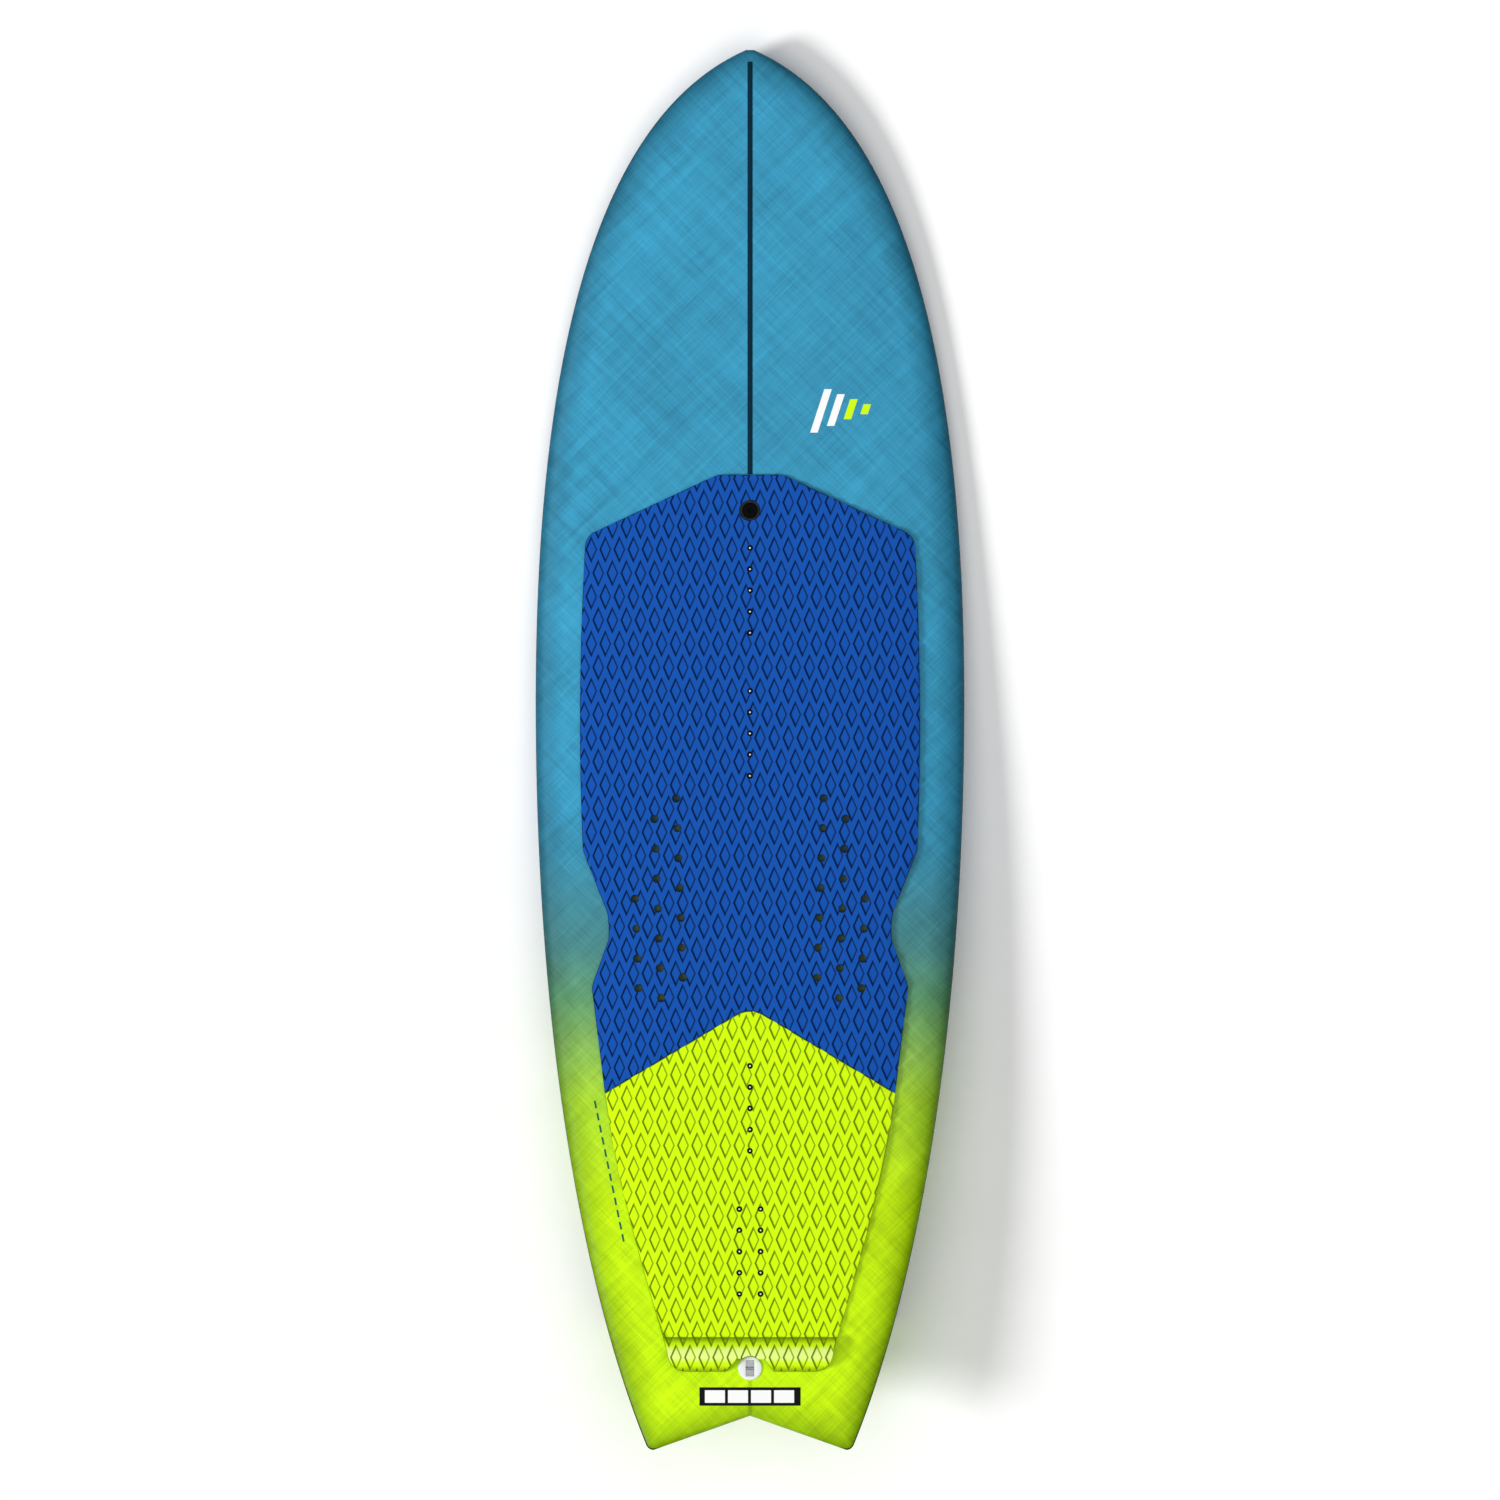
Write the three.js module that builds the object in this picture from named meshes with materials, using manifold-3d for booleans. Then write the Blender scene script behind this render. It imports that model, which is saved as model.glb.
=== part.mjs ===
// A directional kitesurf board with a swallow tail: a foam core in a PVC sandwich and laminate skins,
// grooved deck pads, threaded strap inserts, a leash plug, a screw vent and three fins in fin boxes.
// The board is drawn in its own frame, X to its right, Y to the nose from mid-length, Z up from the
// bottom, and the last lines tip it onto its side fins and belly, as it rests on the ground.
import * as THREE from "three";
import { mergeVertices } from "three/addons/utils/BufferGeometryUtils.js";
import Module from "manifold-3d";

const wasm = await Module();
wasm.setup();

// ---- Driving dimensions, mm ----------------------------------------------------------------------
// Plan outline of the right half: two cubic curves that meet at the widest point.
const WIDEST = [256.6, 57.2];
const NOSE_CURVE = [[5, 838], [185.1, 757.9], [256.6, 469.6], WIDEST];
const TAIL_CURVE = [WIDEST, [256.6, -409.1], [179.9, -698.5], [121.7, -838]];
const TAIL_NOTCH_Y = -797; // where the two halves of the swallow tail meet
const NOTCH_REACH = 88; // length over which the cross-sections lean into the notch

// Profile: the bottom's rocker, the thickness, and where the rail's edge sits in it.
const FLAT_Y = -60; // the lowest station of the bottom
const NOSE_ROCKER = 100;
const TAIL_ROCKER = 38;
const NOSE_BEND = 2.4; // power by which the rocker rises towards the nose
const TAIL_BEND = 2.2;
const THICKEST_Y = 40;
const THICKNESS = 50;
const NOSE_THICKNESS = 14;
const TAIL_THICKNESS = 18;
const THINNING = 2.2; // power by which the board thins towards its ends
const RAIL_SHARE = 0.38; // rail edge height as a share of the thickness
const END_ROUND = 7; // rounding of the nose's and tail's edges
const END_LOSS = 0.85; // share of the squared height that the rounding takes at the very end
const DECK_POWER = 3.2; // crown of the deck
const BOTTOM_POWER = 10; // the bottom is flat to near the rail

// Build: laminate skins, PVC sheets, and what is left for the core.
const SKIN = 1;
const PVC_TOP = 1.4;
const PVC_BASE = 4.4;
const CORE_DEPTH = 4.8;
const SKIN_END = 12; // solid length at the nose and tail, layer by layer
const PVC_END = 13;
const PVC_BASE_END = 26;
const CORE_END = 32;
const LEAST_HEIGHT = 0.5; // no layer gets thinner than this above or below the rail line
const STRINGER_HALF = 3;
const STRIP_HALF = 3; // the carbon strip on the deck
const STRIP_TOP = 0.6;
const STRIP_NOSE_GAP = 14;
const FIT = 0.3; // gap between pieces that touch
const FAR = 900; // past any edge of the board

// Deck pads.
const PAD_GAP = 0.4;
const PAD_TOP = 5.3;
const PAD_FRONT_Y = 329.2;
const PAD_REAR_Y = -744.2;
const SEAM_Y = -411; // outer ends of the chevron seam between the pads
const SEAM_X = 173.8;
const SEAM_PEAK_Y = -307.5; // where the two straight arms would meet
const SEAM_ROUND = 17; // the peak is rounded over this half-width
const SEAM_GAP = 0.8;
const HOLE_R = 4.7;
const HOLE_STEP = [-1.32, -35.75];
const HOLE_COLUMNS = [[88.3, -57.9, 7], [114.4, -82.5, 7], [137.5, -178.1, 4]];
const KICK_Y = -723.6; // the raised bar across the rear of the tail pad
const KICK_HALF = 16.2;
const KICK_HEIGHT = 14;
const KICK_HALF_WIDTH = 104;
const KICK_STEPS = 12;
const COLLAR_HOLE_R = 3.6; // holes in the pads round the inserts
const VENT_HOLE_GAP = 0.5;
const LEASH_HOLE_GAP = 0.6;

// Strap inserts: rows of five on one-inch pitch.
const INSERT_PITCH = 25.4;
const INSERTS_PER_ROW = 5;
const STRAP_GROUPS = [
  { name: "front_strap", y: 191.1, rows: [0], depth: 19 },
  { name: "middle_strap", y: 19.9, rows: [0], depth: 19 },
  { name: "rear_strap", y: -429, rows: [0], depth: 19 },
  { name: "tail_strap", y: -600.4, rows: [-12.7, 12.7], depth: 13 },
];
const INSERT_R = 6;
const INSERT_COLLAR_R = 3.2;
const INSERT_SHOULDER = -2.1;
const INSERT_LIP = 1.2;
const INSERT_BASE = 3; // thickness under the thread
const THREAD_R = 2.5; // core of an M6 thread
const INSERT_SIDES = 6;
const BLOCK_SIDE = 14; // dense foam round the inserts
const BLOCK_END = 9;
const BLOCK_UNDER = 2;
const BLOCK_GAP = 0.4;

// Vent and leash plug, on the centre line.
const VENT_Y = 287;
const VENT_R = 12.05;
const VENT_BARREL_R = 10;
const VENT_FLOOR = -18;
const VENT_FLANGE = 1.4; // underside of the housing's flange
const VENT_TOP = 4.2;
const VENT_WELL_R = 9.6; // round space for the cap's head
const VENT_WELL_FLOOR = 1;
const VENT_THREAD_R = 6.2;
const VENT_PORT_R = 4;
const VENT_PORT_TOP = -12;
const CAP_R = 9.2;
const CAP_TOP = 4.4;
const CAP_UNDER = 2.6;
const CAP_STEM_R = 5.9;
const CAP_STEM_END = -9;
const SOCKET_R = 3.2; // corner radius of the hexagon socket
const SOCKET_FLOOR = 2;
const SEAL_RING_R = 7.9;
const SEAL_Z = 1.85;
const SEAL_CORD_R = 0.7;
const MEMBRANE = [-11.7, -10.9];
const LEASH_Y = -740;
const LEASH_R = 14.2;
const LEASH_BARREL_R = 12.6;
const LEASH_FLOOR = -17;
const LEASH_FLANGE = 1.1;
const LEASH_TOP = 2.4;
const LEASH_POCKET = [10.3, 19.7, 13];
const LEASH_BAR_R = 1.7;
const LEASH_BAR_HALF = 8.2;
const LEASH_BAR_DROP = 1.4;
const LEASH_SEAT_HALF = 8.5;

// Fins: a centre fin and two side fins, each in a box set in the bottom.
const FIN_DEPTH = 112;
const FIN_BASE = 108;
const BOX_LENGTH = 76;
const BOX_HALF_WIDTH = 10;
const BOX_DEPTH = 12;
const TAB_HALF = 3;
const TAB_HEIGHT = 10.5;
const TAB_FOOT = -1; // the tab's lower end, inside the blade's root
const TAB_END_GAP = 3.5;
const SLOT_LENGTH = 69.6;
const BLADE_HALF = 3.3;
const BLADE_TAPER = 0.7;
const BLADE_GAP = 0.7; // between the blade's root and the bottom
const SCREW_SIDE = 6.6; // place of the grub screws in the box
const SCREW_REACH = 24;
const SCREW_R = 2.5;
const SCREW_HEIGHT = [0.8, 7.6];
const SCREW_BORE_R = 2.8;
const SCREW_HEX_R = 1.3;
const SCREW_HEX_TOP = 3.8;
const FINS = [
  { name: "centre", x: 0, y: -684, cant: 0, toe: 0 },
  { name: "left", x: -158, y: -590, cant: -5, toe: -2.5 },
  { name: "right", x: 158, y: -590, cant: 5, toe: 2.5 },
];

// At rest the nose is down by this angle, on the side fins' tips and the belly.
const REST_TILT = THREE.MathUtils.degToRad(5.84);

// ---- Materials -----------------------------------------------------------------------------------
const paint = (color, roughness, metalness = 0) =>
  new THREE.MeshStandardMaterial({ color, roughness, metalness });
const MATERIALS = {
  deck: paint(0x3c98bd, 0.28),
  bottom: paint(0x3c98bd, 0.28),
  pvc: paint(0xd9cf9a, 0.8),
  foam: paint(0xf4f4f0, 0.9),
  wood: paint(0xb98f5c, 0.7),
  carbon: paint(0x00283c, 0.35),
  bluePad: paint(0x1455b4, 0.75),
  limePad: paint(0xd5ff10, 0.75),
  denseFoam: paint(0xe0b070, 0.85),
  blackPlastic: paint(0x0d0d0d, 0.4),
  whitePlastic: paint(0xe6e8eb, 0.35),
  rubber: paint(0x151515, 0.8),
  membrane: paint(0xdfe6ea, 0.6),
  steel: paint(0x85878a, 0.3, 1),
  fin: paint(0x11161a, 0.35),
};

// ---- Solids and geometries -----------------------------------------------------------------------
function solid(geometry) {
  const bare = geometry.index ? geometry.toNonIndexed() : geometry.clone();
  bare.deleteAttribute("normal");
  bare.deleteAttribute("uv");
  const merged = mergeVertices(bare, 1e-3);
  const corners = merged.index.array;
  const kept = [];
  for (let i = 0; i < corners.length; i += 3) {
    const [a, b, c] = corners.slice(i, i + 3);
    if (a !== b && b !== c && c !== a) kept.push(a, b, c);
  }
  const vertProperties = merged.attributes.position.array;
  const triVerts = new Uint32Array(kept);
  return new wasm.Manifold(new wasm.Mesh({ numProp: 3, vertProperties, triVerts }));
}

function geometryOf(shape) {
  const mesh = shape.getMesh();
  const geometry = new THREE.BufferGeometry();
  geometry.setAttribute("position", new THREE.BufferAttribute(mesh.vertProperties, 3));
  geometry.setIndex(new THREE.BufferAttribute(mesh.triVerts, 1));
  return geometry;
}

const placed = (geometry, matrix) => solid(geometry.applyMatrix4(matrix));
const cutAll = (shape, cutters) => cutters.reduce((left, cutter) => left.subtract(cutter), shape);

// A closed solid through a list of rings with equal numbers of points. Each end's cap is made of two
// fans that meet along the line between two of the ring's points, so it can fold there.
function loft(rings, [foldA, foldB]) {
  const sides = rings[0].length;
  const index = [];
  for (let r = 0; r + 1 < rings.length; r++) {
    for (let i = 0; i < sides; i++) {
      const next = (i + 1) % sides;
      const [a, b] = [r * sides + i, r * sides + next];
      index.push(a, b, b + sides, a, b + sides, a + sides);
    }
  }
  const last = (rings.length - 1) * sides;
  const cap = (hub, i) => {
    const [near, far] = [i % sides, (i + 1) % sides];
    index.push(hub, far, near);
    index.push(last + hub, last + near, last + far);
  };
  for (let i = foldA + 1; i < foldB; i++) cap(foldA, i);
  for (let i = foldB + 1; i < foldA + sides; i++) cap(foldB, i);
  const geometry = new THREE.BufferGeometry();
  const points = rings.flat(2);
  geometry.setAttribute("position", new THREE.Float32BufferAttribute(points, 3));
  geometry.setIndex(index);
  return solid(geometry);
}

// A box from its low and high corners.
function box(low, high) {
  const size = high.map((v, i) => v - low[i]);
  const middle = high.map((v, i) => (v + low[i]) / 2);
  return solid(new THREE.BoxGeometry(...size).translate(...middle));
}

// A solid of revolution about Z from a closed profile of [radius, height] pairs.
function turned(profile, sides, matrix = new THREE.Matrix4()) {
  const points = [...profile, profile[0]].map(([r, z]) => new THREE.Vector2(r, z));
  const lathe = new THREE.LatheGeometry(points, sides).rotateX(Math.PI / 2);
  return placed(lathe, matrix);
}

// A round rod along Z between two heights.
const rod = (radius, low, high, sides, matrix) =>
  turned([[0, low], [radius, low], [radius, high], [0, high]], sides, matrix);

// A plan outline of [x, y] points, extruded between two heights.
function prism(outline, low, high) {
  const shape = new THREE.Shape(outline.map(([x, y]) => new THREE.Vector2(x, y)));
  const extruded = new THREE.ExtrudeGeometry(shape, { depth: high - low, bevelEnabled: false });
  return solid(extruded.translate(0, 0, low));
}

// A side profile of [y, z] points, extruded across the board.
function acrossPrism(profile, halfWidth) {
  const shape = new THREE.Shape(profile.map(([y, z]) => new THREE.Vector2(y, z)));
  const options = { depth: 2 * halfWidth, bevelEnabled: false };
  const extruded = new THREE.ExtrudeGeometry(shape, options).translate(0, 0, -halfWidth);
  const axes = new THREE.Matrix4().makeBasis(
    new THREE.Vector3(0, 1, 0),
    new THREE.Vector3(0, 0, 1),
    new THREE.Vector3(1, 0, 0),
  );
  return placed(extruded, axes);
}

// ---- Hull form -----------------------------------------------------------------------------------
const curve = (points) =>
  new THREE.CubicBezierCurve(...points.map(([x, y]) => new THREE.Vector2(x, y)));
const noseCurve = curve(NOSE_CURVE);
const tailCurve = curve(TAIL_CURVE);

// Half the board's width at a station, from the outline curves.
function halfWidth(y) {
  const side = y > WIDEST[1] ? noseCurve : tailCurve;
  let [low, high] = [0, 1];
  for (let i = 0; i < 40; i++) {
    const middle = (low + high) / 2;
    if (side.getPoint(middle).y > y) low = middle;
    else high = middle;
  }
  return side.getPoint(low).x;
}

const NOSE_Y = NOSE_CURVE[0][1];
const TAIL_Y = TAIL_CURVE[3][1];

function bottomZ(y) {
  if (y > FLAT_Y) return NOSE_ROCKER * ((y - FLAT_Y) / (NOSE_Y - FLAT_Y)) ** NOSE_BEND;
  return TAIL_ROCKER * ((FLAT_Y - y) / (FLAT_Y - TAIL_Y)) ** TAIL_BEND;
}

function thickness(y) {
  const end = y > THICKEST_Y ? NOSE_THICKNESS : TAIL_THICKNESS;
  const span = y > THICKEST_Y ? NOSE_Y - THICKEST_Y : THICKEST_Y - TAIL_Y;
  return THICKNESS - (THICKNESS - end) * (Math.abs(y - THICKEST_Y) / span) ** THINNING;
}

const railZ = (y) => bottomZ(y) + RAIL_SHARE * thickness(y);
const crown = (share, power) => Math.sqrt(Math.max(0, 1 - share ** power));

// The deck's height at any point of the plan.
function deckZ(x, y) {
  const rise = (1 - RAIL_SHARE) * thickness(y);
  return railZ(y) + rise * crown(Math.abs(x) / halfWidth(y), DECK_POWER);
}

function undersideZ(x, y) {
  const drop = RAIL_SHARE * thickness(y);
  return railZ(y) - drop * crown(Math.abs(x) / halfWidth(y), BOTTOM_POWER);
}

// Stations along the two outline curves, counted in mm of their control lines from the board's ends.
const NOSE_STATIONS = [0, 9, 32, 60, 112, 190, 295, 440];
const TAIL_STATIONS = [0, 9, 32, 72, 136, 227, 340, 453];
const endSpeed = ([[ax, ay], [bx, by]]) => 3 * Math.hypot(bx - ax, by - ay);
const NOSE_SPEED = endSpeed(NOSE_CURVE);
const TAIL_SPEED = endSpeed(TAIL_CURVE.slice(2));
const DECK_SHARES = [1, 0.98, 0.9, 0.74, 0.45, 0];
const BOTTOM_SHARES = [0, 0.8, 0.97];

// Points of the rail's edge from nose to tail, moved in by an inset and stopped short of the ends.
function railPoints(inset, endGap) {
  const from = (stations) => [endGap, ...stations.filter((station) => station > endGap + 2)];
  const place = (side, t) => {
    const [point, tangent] = [side.getPoint(t), side.getTangent(t)];
    return [point.x + inset * tangent.y, point.y - inset * tangent.x];
  };
  return [
    ...from(NOSE_STATIONS).map((station) => place(noseCurve, station / NOSE_SPEED)),
    ...from(TAIL_STATIONS).reverse().map((station) => place(tailCurve, 1 - station / TAIL_SPEED)),
  ];
}

// The quarter-round of the edge at the two ends of the board, as a share of the full height.
function endRound(y) {
  const inside = Math.min(NOSE_Y - y, y - TAIL_Y, END_ROUND) / END_ROUND;
  return Math.sqrt(1 - END_LOSS * (1 - Math.max(0, inside)) ** 2);
}

// The whole hull as one solid, shrunk by an inset all round (or grown by a negative one).
function hull(inset = 0, endGap = 0) {
  const rings = railPoints(inset, endGap).map(([w, y]) => {
    const lean = (TAIL_NOTCH_Y - TAIL_Y) * Math.max(0, (TAIL_Y + NOTCH_REACH - y) / NOTCH_REACH);
    const round = endRound(y);
    const up = Math.max(LEAST_HEIGHT, (1 - RAIL_SHARE) * thickness(y) * round - inset);
    const down = Math.max(LEAST_HEIGHT, RAIL_SHARE * thickness(y) * round - inset);
    const point = (share, side, height) => {
      const [x, atY] = [side * w * share, y + lean * (1 - share)];
      return [x, atY, railZ(y) + height];
    };
    const deck = (share, side) => point(share, side, up * crown(share, DECK_POWER));
    const base = (share, side) => point(share, side, -down * crown(share, BOTTOM_POWER));
    return [
      ...DECK_SHARES.map((share) => deck(share, 1)),
      ...DECK_SHARES.slice(0, -1).reverse().map((share) => deck(share, -1)),
      ...BOTTOM_SHARES.slice().reverse().map((share) => base(share, -1)),
      ...BOTTOM_SHARES.slice(1).map((share) => base(share, 1)),
    ];
  });
  const deckMiddle = DECK_SHARES.length - 1;
  const baseMiddle = 2 * deckMiddle + BOTTOM_SHARES.length;
  return loft(rings, [deckMiddle, baseMiddle]);
}

// Everything above the rail's edge line, or below it, less a share of the gap between the halves.
function railSide(above) {
  const line = railPoints(0, 0).map(([, y]) => [y, railZ(y) + (above ? 1 : -1) * (FIT / 2)]);
  const far = above ? FAR : -FAR;
  const first = [FAR, line[0][1]];
  const last = [-FAR, line[line.length - 1][1]];
  return acrossPrism([first, ...line, last, [last[0], far], [first[0], far]], FAR);
}

const ABOVE = railSide(true);
const BELOW = railSide(false);
const OUTSIDE = hull();
const PAD_SEAT = hull(-PAD_GAP);
const PAD_FACE = hull(-PAD_TOP);

// ---- Local frames on the surfaces ----------------------------------------------------------------
// A frame on the deck's centre line, its Z along the deck's normal.
function deckFrame(y) {
  const slope = Math.atan2(deckZ(0, y + 1) - deckZ(0, y - 1), 2);
  const frame = new THREE.Matrix4().makeRotationX(slope);
  return frame.setPosition(0, y, deckZ(0, y));
}

const ventFrame = deckFrame(VENT_Y);
const leashFrame = deckFrame(LEASH_Y);

// A fin's frame on the bottom: Y towards the nose, Z into the board.
function finFrame({ x, y, cant, toe }) {
  const slope = Math.atan2(undersideZ(x, y + 30) - undersideZ(x, y - 30), 60);
  const turn = new THREE.Euler(
    slope,
    THREE.MathUtils.degToRad(-cant),
    THREE.MathUtils.degToRad(toe),
    "ZXY",
  );
  return new THREE.Matrix4().makeRotationFromEuler(turn).setPosition(x, y, undersideZ(x, y));
}

// ---- Strap inserts and the dense foam that holds them --------------------------------------------
const inserts = STRAP_GROUPS.flatMap((group) =>
  group.rows.flatMap((x) =>
    Array.from({ length: INSERTS_PER_ROW }, (_, i) => {
      const y = group.y + (i - (INSERTS_PER_ROW - 1) / 2) * INSERT_PITCH;
      return { x, y, z: deckZ(x, y), depth: group.depth, group: group.name };
    }),
  ),
);

const upright = ({ x, y, z }) => new THREE.Matrix4().makeTranslation(x, y, z);

function insertSolid(insert) {
  const floor = -insert.depth;
  const profile = [
    [0, floor],
    [INSERT_R, floor],
    [INSERT_R, INSERT_SHOULDER],
    [INSERT_COLLAR_R, INSERT_SHOULDER],
    [INSERT_COLLAR_R, INSERT_LIP],
    [THREAD_R, INSERT_LIP],
    [THREAD_R, floor + INSERT_BASE],
    [0, floor + INSERT_BASE],
  ];
  return turned(profile, INSERT_SIDES, upright(insert));
}

const collarHole = (insert, radius) => rod(radius, -4, 12, INSERT_SIDES, upright(insert));

function blockSpace(group, grow) {
  const half = Math.max(...group.rows) + BLOCK_SIDE + grow;
  const reach = ((INSERTS_PER_ROW - 1) / 2) * INSERT_PITCH + BLOCK_END + grow;
  const floor = deckZ(0, group.y) - group.depth - BLOCK_UNDER - grow;
  return box([-half, group.y - reach, floor], [half, group.y + reach, FAR]);
}

function insertBlock(group) {
  const bores = inserts
    .filter((insert) => insert.group === group.name)
    .map((insert) => rod(INSERT_R + FIT, -insert.depth - FIT, 12, INSERT_SIDES, upright(insert)));
  return cutAll(blockSpace(group, 0).intersect(hull(PVC_TOP)), bores);
}

// ---- Vent ----------------------------------------------------------------------------------------
const VENT_SIDES = 16;

function ventHousing() {
  const profile = [
    [VENT_PORT_R, VENT_FLOOR],
    [VENT_BARREL_R, VENT_FLOOR],
    [VENT_BARREL_R, VENT_FLANGE],
    [VENT_R, VENT_FLANGE],
    [VENT_R, VENT_TOP],
    [VENT_WELL_R, VENT_TOP],
    [VENT_WELL_R, VENT_WELL_FLOOR],
    [VENT_THREAD_R, VENT_WELL_FLOOR],
    [VENT_THREAD_R, VENT_PORT_TOP],
    [VENT_PORT_R, VENT_PORT_TOP],
  ];
  return turned(profile, VENT_SIDES, ventFrame);
}

function ventCap() {
  const profile = [
    [0, CAP_STEM_END],
    [CAP_STEM_R, CAP_STEM_END],
    [CAP_STEM_R, CAP_UNDER],
    [CAP_R, CAP_UNDER],
    [CAP_R, CAP_TOP],
    [0, CAP_TOP],
  ];
  const socket = rod(SOCKET_R, SOCKET_FLOOR, CAP_TOP + 2, 6, ventFrame);
  return turned(profile, VENT_SIDES, ventFrame).subtract(socket);
}

function ventSeal() {
  const cord = new THREE.Path().absarc(SEAL_RING_R, SEAL_Z, SEAL_CORD_R, 0, 2 * Math.PI);
  const section = cord.getPoints(3).slice(0, -1);
  return turned(section.map((p) => [p.x, p.y]), VENT_SIDES, ventFrame);
}

const ventMembrane = () => rod(CAP_STEM_R, ...MEMBRANE, VENT_SIDES, ventFrame);
const ventBore = (radius) => rod(radius, VENT_FLOOR - FIT, 14, VENT_SIDES, ventFrame);

// ---- Leash plug ----------------------------------------------------------------------------------
const LEASH_SIDES = 20;
const BAR_SIDES = 12;

// The bar lies across the pocket: its frame has Z along the board's X.
const barFrame = leashFrame
  .clone()
  .multiply(new THREE.Matrix4().makeRotationY(Math.PI / 2).setPosition(0, 0, -LEASH_BAR_DROP));

function leashCup() {
  const profile = [
    [0, LEASH_FLOOR],
    [LEASH_BARREL_R, LEASH_FLOOR],
    [LEASH_BARREL_R, LEASH_FLANGE],
    [LEASH_R, LEASH_FLANGE],
    [LEASH_R, LEASH_TOP],
    [0, LEASH_TOP],
  ];
  const [wide, long, deep] = LEASH_POCKET;
  const pocket = new THREE.BoxGeometry(wide, long, 2 * deep).translate(0, 0, LEASH_TOP);
  const seat = rod(LEASH_BAR_R + FIT, -LEASH_SEAT_HALF, LEASH_SEAT_HALF, BAR_SIDES, barFrame);
  return cutAll(turned(profile, LEASH_SIDES, leashFrame), [placed(pocket, leashFrame), seat]);
}

const leashBar = () => rod(LEASH_BAR_R, -LEASH_BAR_HALF, LEASH_BAR_HALF, BAR_SIDES, barFrame);
const leashBore = (radius) => rod(radius, LEASH_FLOOR - FIT, 40, LEASH_SIDES, leashFrame);

// ---- Deck pads -----------------------------------------------------------------------------------
// Right half of the pads' outline, from the front edge to the rear edge.
function padSide() {
  const outline = new THREE.Path();
  outline.moveTo(34, PAD_FRONT_Y);
  outline.quadraticCurveTo(40, PAD_FRONT_Y, 47, 325.8);
  outline.lineTo(185, 261.6);
  outline.quadraticCurveTo(197, 256, 197.6, 242);
  outline.bezierCurveTo(203, 140, 206.5, 20, 200, -121);
  outline.lineTo(171, -194);
  outline.quadraticCurveTo(168, -210, 169.6, -228);
  outline.lineTo(188, -279);
  outline.quadraticCurveTo(189.8, -285, 188.4, -292);
  outline.lineTo(SEAM_X, SEAM_Y);
  outline.bezierCurveTo(161, -505, 138, -590, 104, -704);
  outline.lineTo(99.5, -722);
  outline.quadraticCurveTo(96, PAD_REAR_Y, 76, PAD_REAR_Y);
  outline.lineTo(28.6, PAD_REAR_Y);
  outline.lineTo(16.4, -729.4);
  return outline.getPoints(6).map((p) => [p.x, p.y]);
}

function mirrored(side) {
  return [...side, ...side.slice().reverse().map(([x, y]) => [-x, y])];
}

const PAD_LOW = 36; // over the whole underside, and under the whole deck, where the pads lie
const PAD_OUTLINE = prism(mirrored(padSide()), PAD_LOW, FAR);

// The chevron seam: straight arms and a rounded peak. Everything forward of it, moved by a gap.
function forwardOfSeam(shift) {
  const slope = (SEAM_PEAK_Y - SEAM_Y) / SEAM_X;
  const arm = (x) => SEAM_PEAK_Y - slope * x + shift;
  const seam = new THREE.Path();
  seam.moveTo(FAR, arm(FAR));
  seam.lineTo(SEAM_ROUND, arm(SEAM_ROUND));
  seam.quadraticCurveTo(0, arm(0), -SEAM_ROUND, arm(SEAM_ROUND));
  seam.lineTo(-FAR, arm(FAR));
  const line = seam.getPoints(5).map((p) => [p.x, p.y]);
  return prism([...line, [-FAR, FAR], [FAR, FAR]], 0, FAR);
}

// The kick bar's half-round profile, grown outwards by an offset.
function kickBar(offset, halfLength) {
  const base = deckZ(0, KICK_Y) - TAIL_THICKNESS / 2;
  const arc = Array.from({ length: KICK_STEPS + 1 }, (_, i) => {
    const angle = (Math.PI * i) / KICK_STEPS;
    const y = KICK_Y + (KICK_HALF + offset) * Math.cos(angle);
    return [y, deckZ(0, y) + (KICK_HEIGHT + offset) * Math.sin(angle)];
  });
  const [front, rear] = [arc[0][0], arc[arc.length - 1][0]];
  return acrossPrism([...arc, [rear, base], [front, base]].reverse(), halfLength);
}

const perforations = HOLE_COLUMNS.flatMap(([x, y, count]) =>
  [-1, 1].flatMap((side) =>
    Array.from({ length: count }, (_, i) => {
      const [px, py] = [side * (x + i * HOLE_STEP[0]), y + i * HOLE_STEP[1]];
      return rod(HOLE_R, -6, 12, 6, upright({ x: px, y: py, z: deckZ(px, py) }));
    }),
  ),
);

function frontPad() {
  const sheet = PAD_FACE.subtract(PAD_SEAT).intersect(PAD_OUTLINE);
  const front = sheet.intersect(forwardOfSeam(SEAM_GAP / 2));
  const holes = inserts.filter((i) => i.y > SEAM_PEAK_Y).map((i) => collarHole(i, COLLAR_HOLE_R));
  return cutAll(front, [...perforations, ...holes, ventBore(VENT_R + VENT_HOLE_GAP)]);
}

function rearPad() {
  const raised = PAD_FACE.add(kickBar(PAD_TOP, KICK_HALF_WIDTH + 10));
  const under = PAD_SEAT.add(kickBar(PAD_GAP, KICK_HALF_WIDTH + 20));
  const sheet = raised.intersect(PAD_OUTLINE).subtract(under);
  const rear = sheet.subtract(forwardOfSeam(-SEAM_GAP / 2));
  const holes = inserts.filter((i) => i.y < SEAM_PEAK_Y).map((i) => collarHole(i, COLLAR_HOLE_R));
  return cutAll(rear, [...holes, leashBore(LEASH_R + LEASH_HOLE_GAP)]);
}

function kickWedge() {
  const bar = kickBar(0, KICK_HALF_WIDTH).subtract(PAD_SEAT);
  return bar.intersect(PAD_OUTLINE).subtract(leashBore(LEASH_R + LEASH_HOLE_GAP));
}

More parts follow.
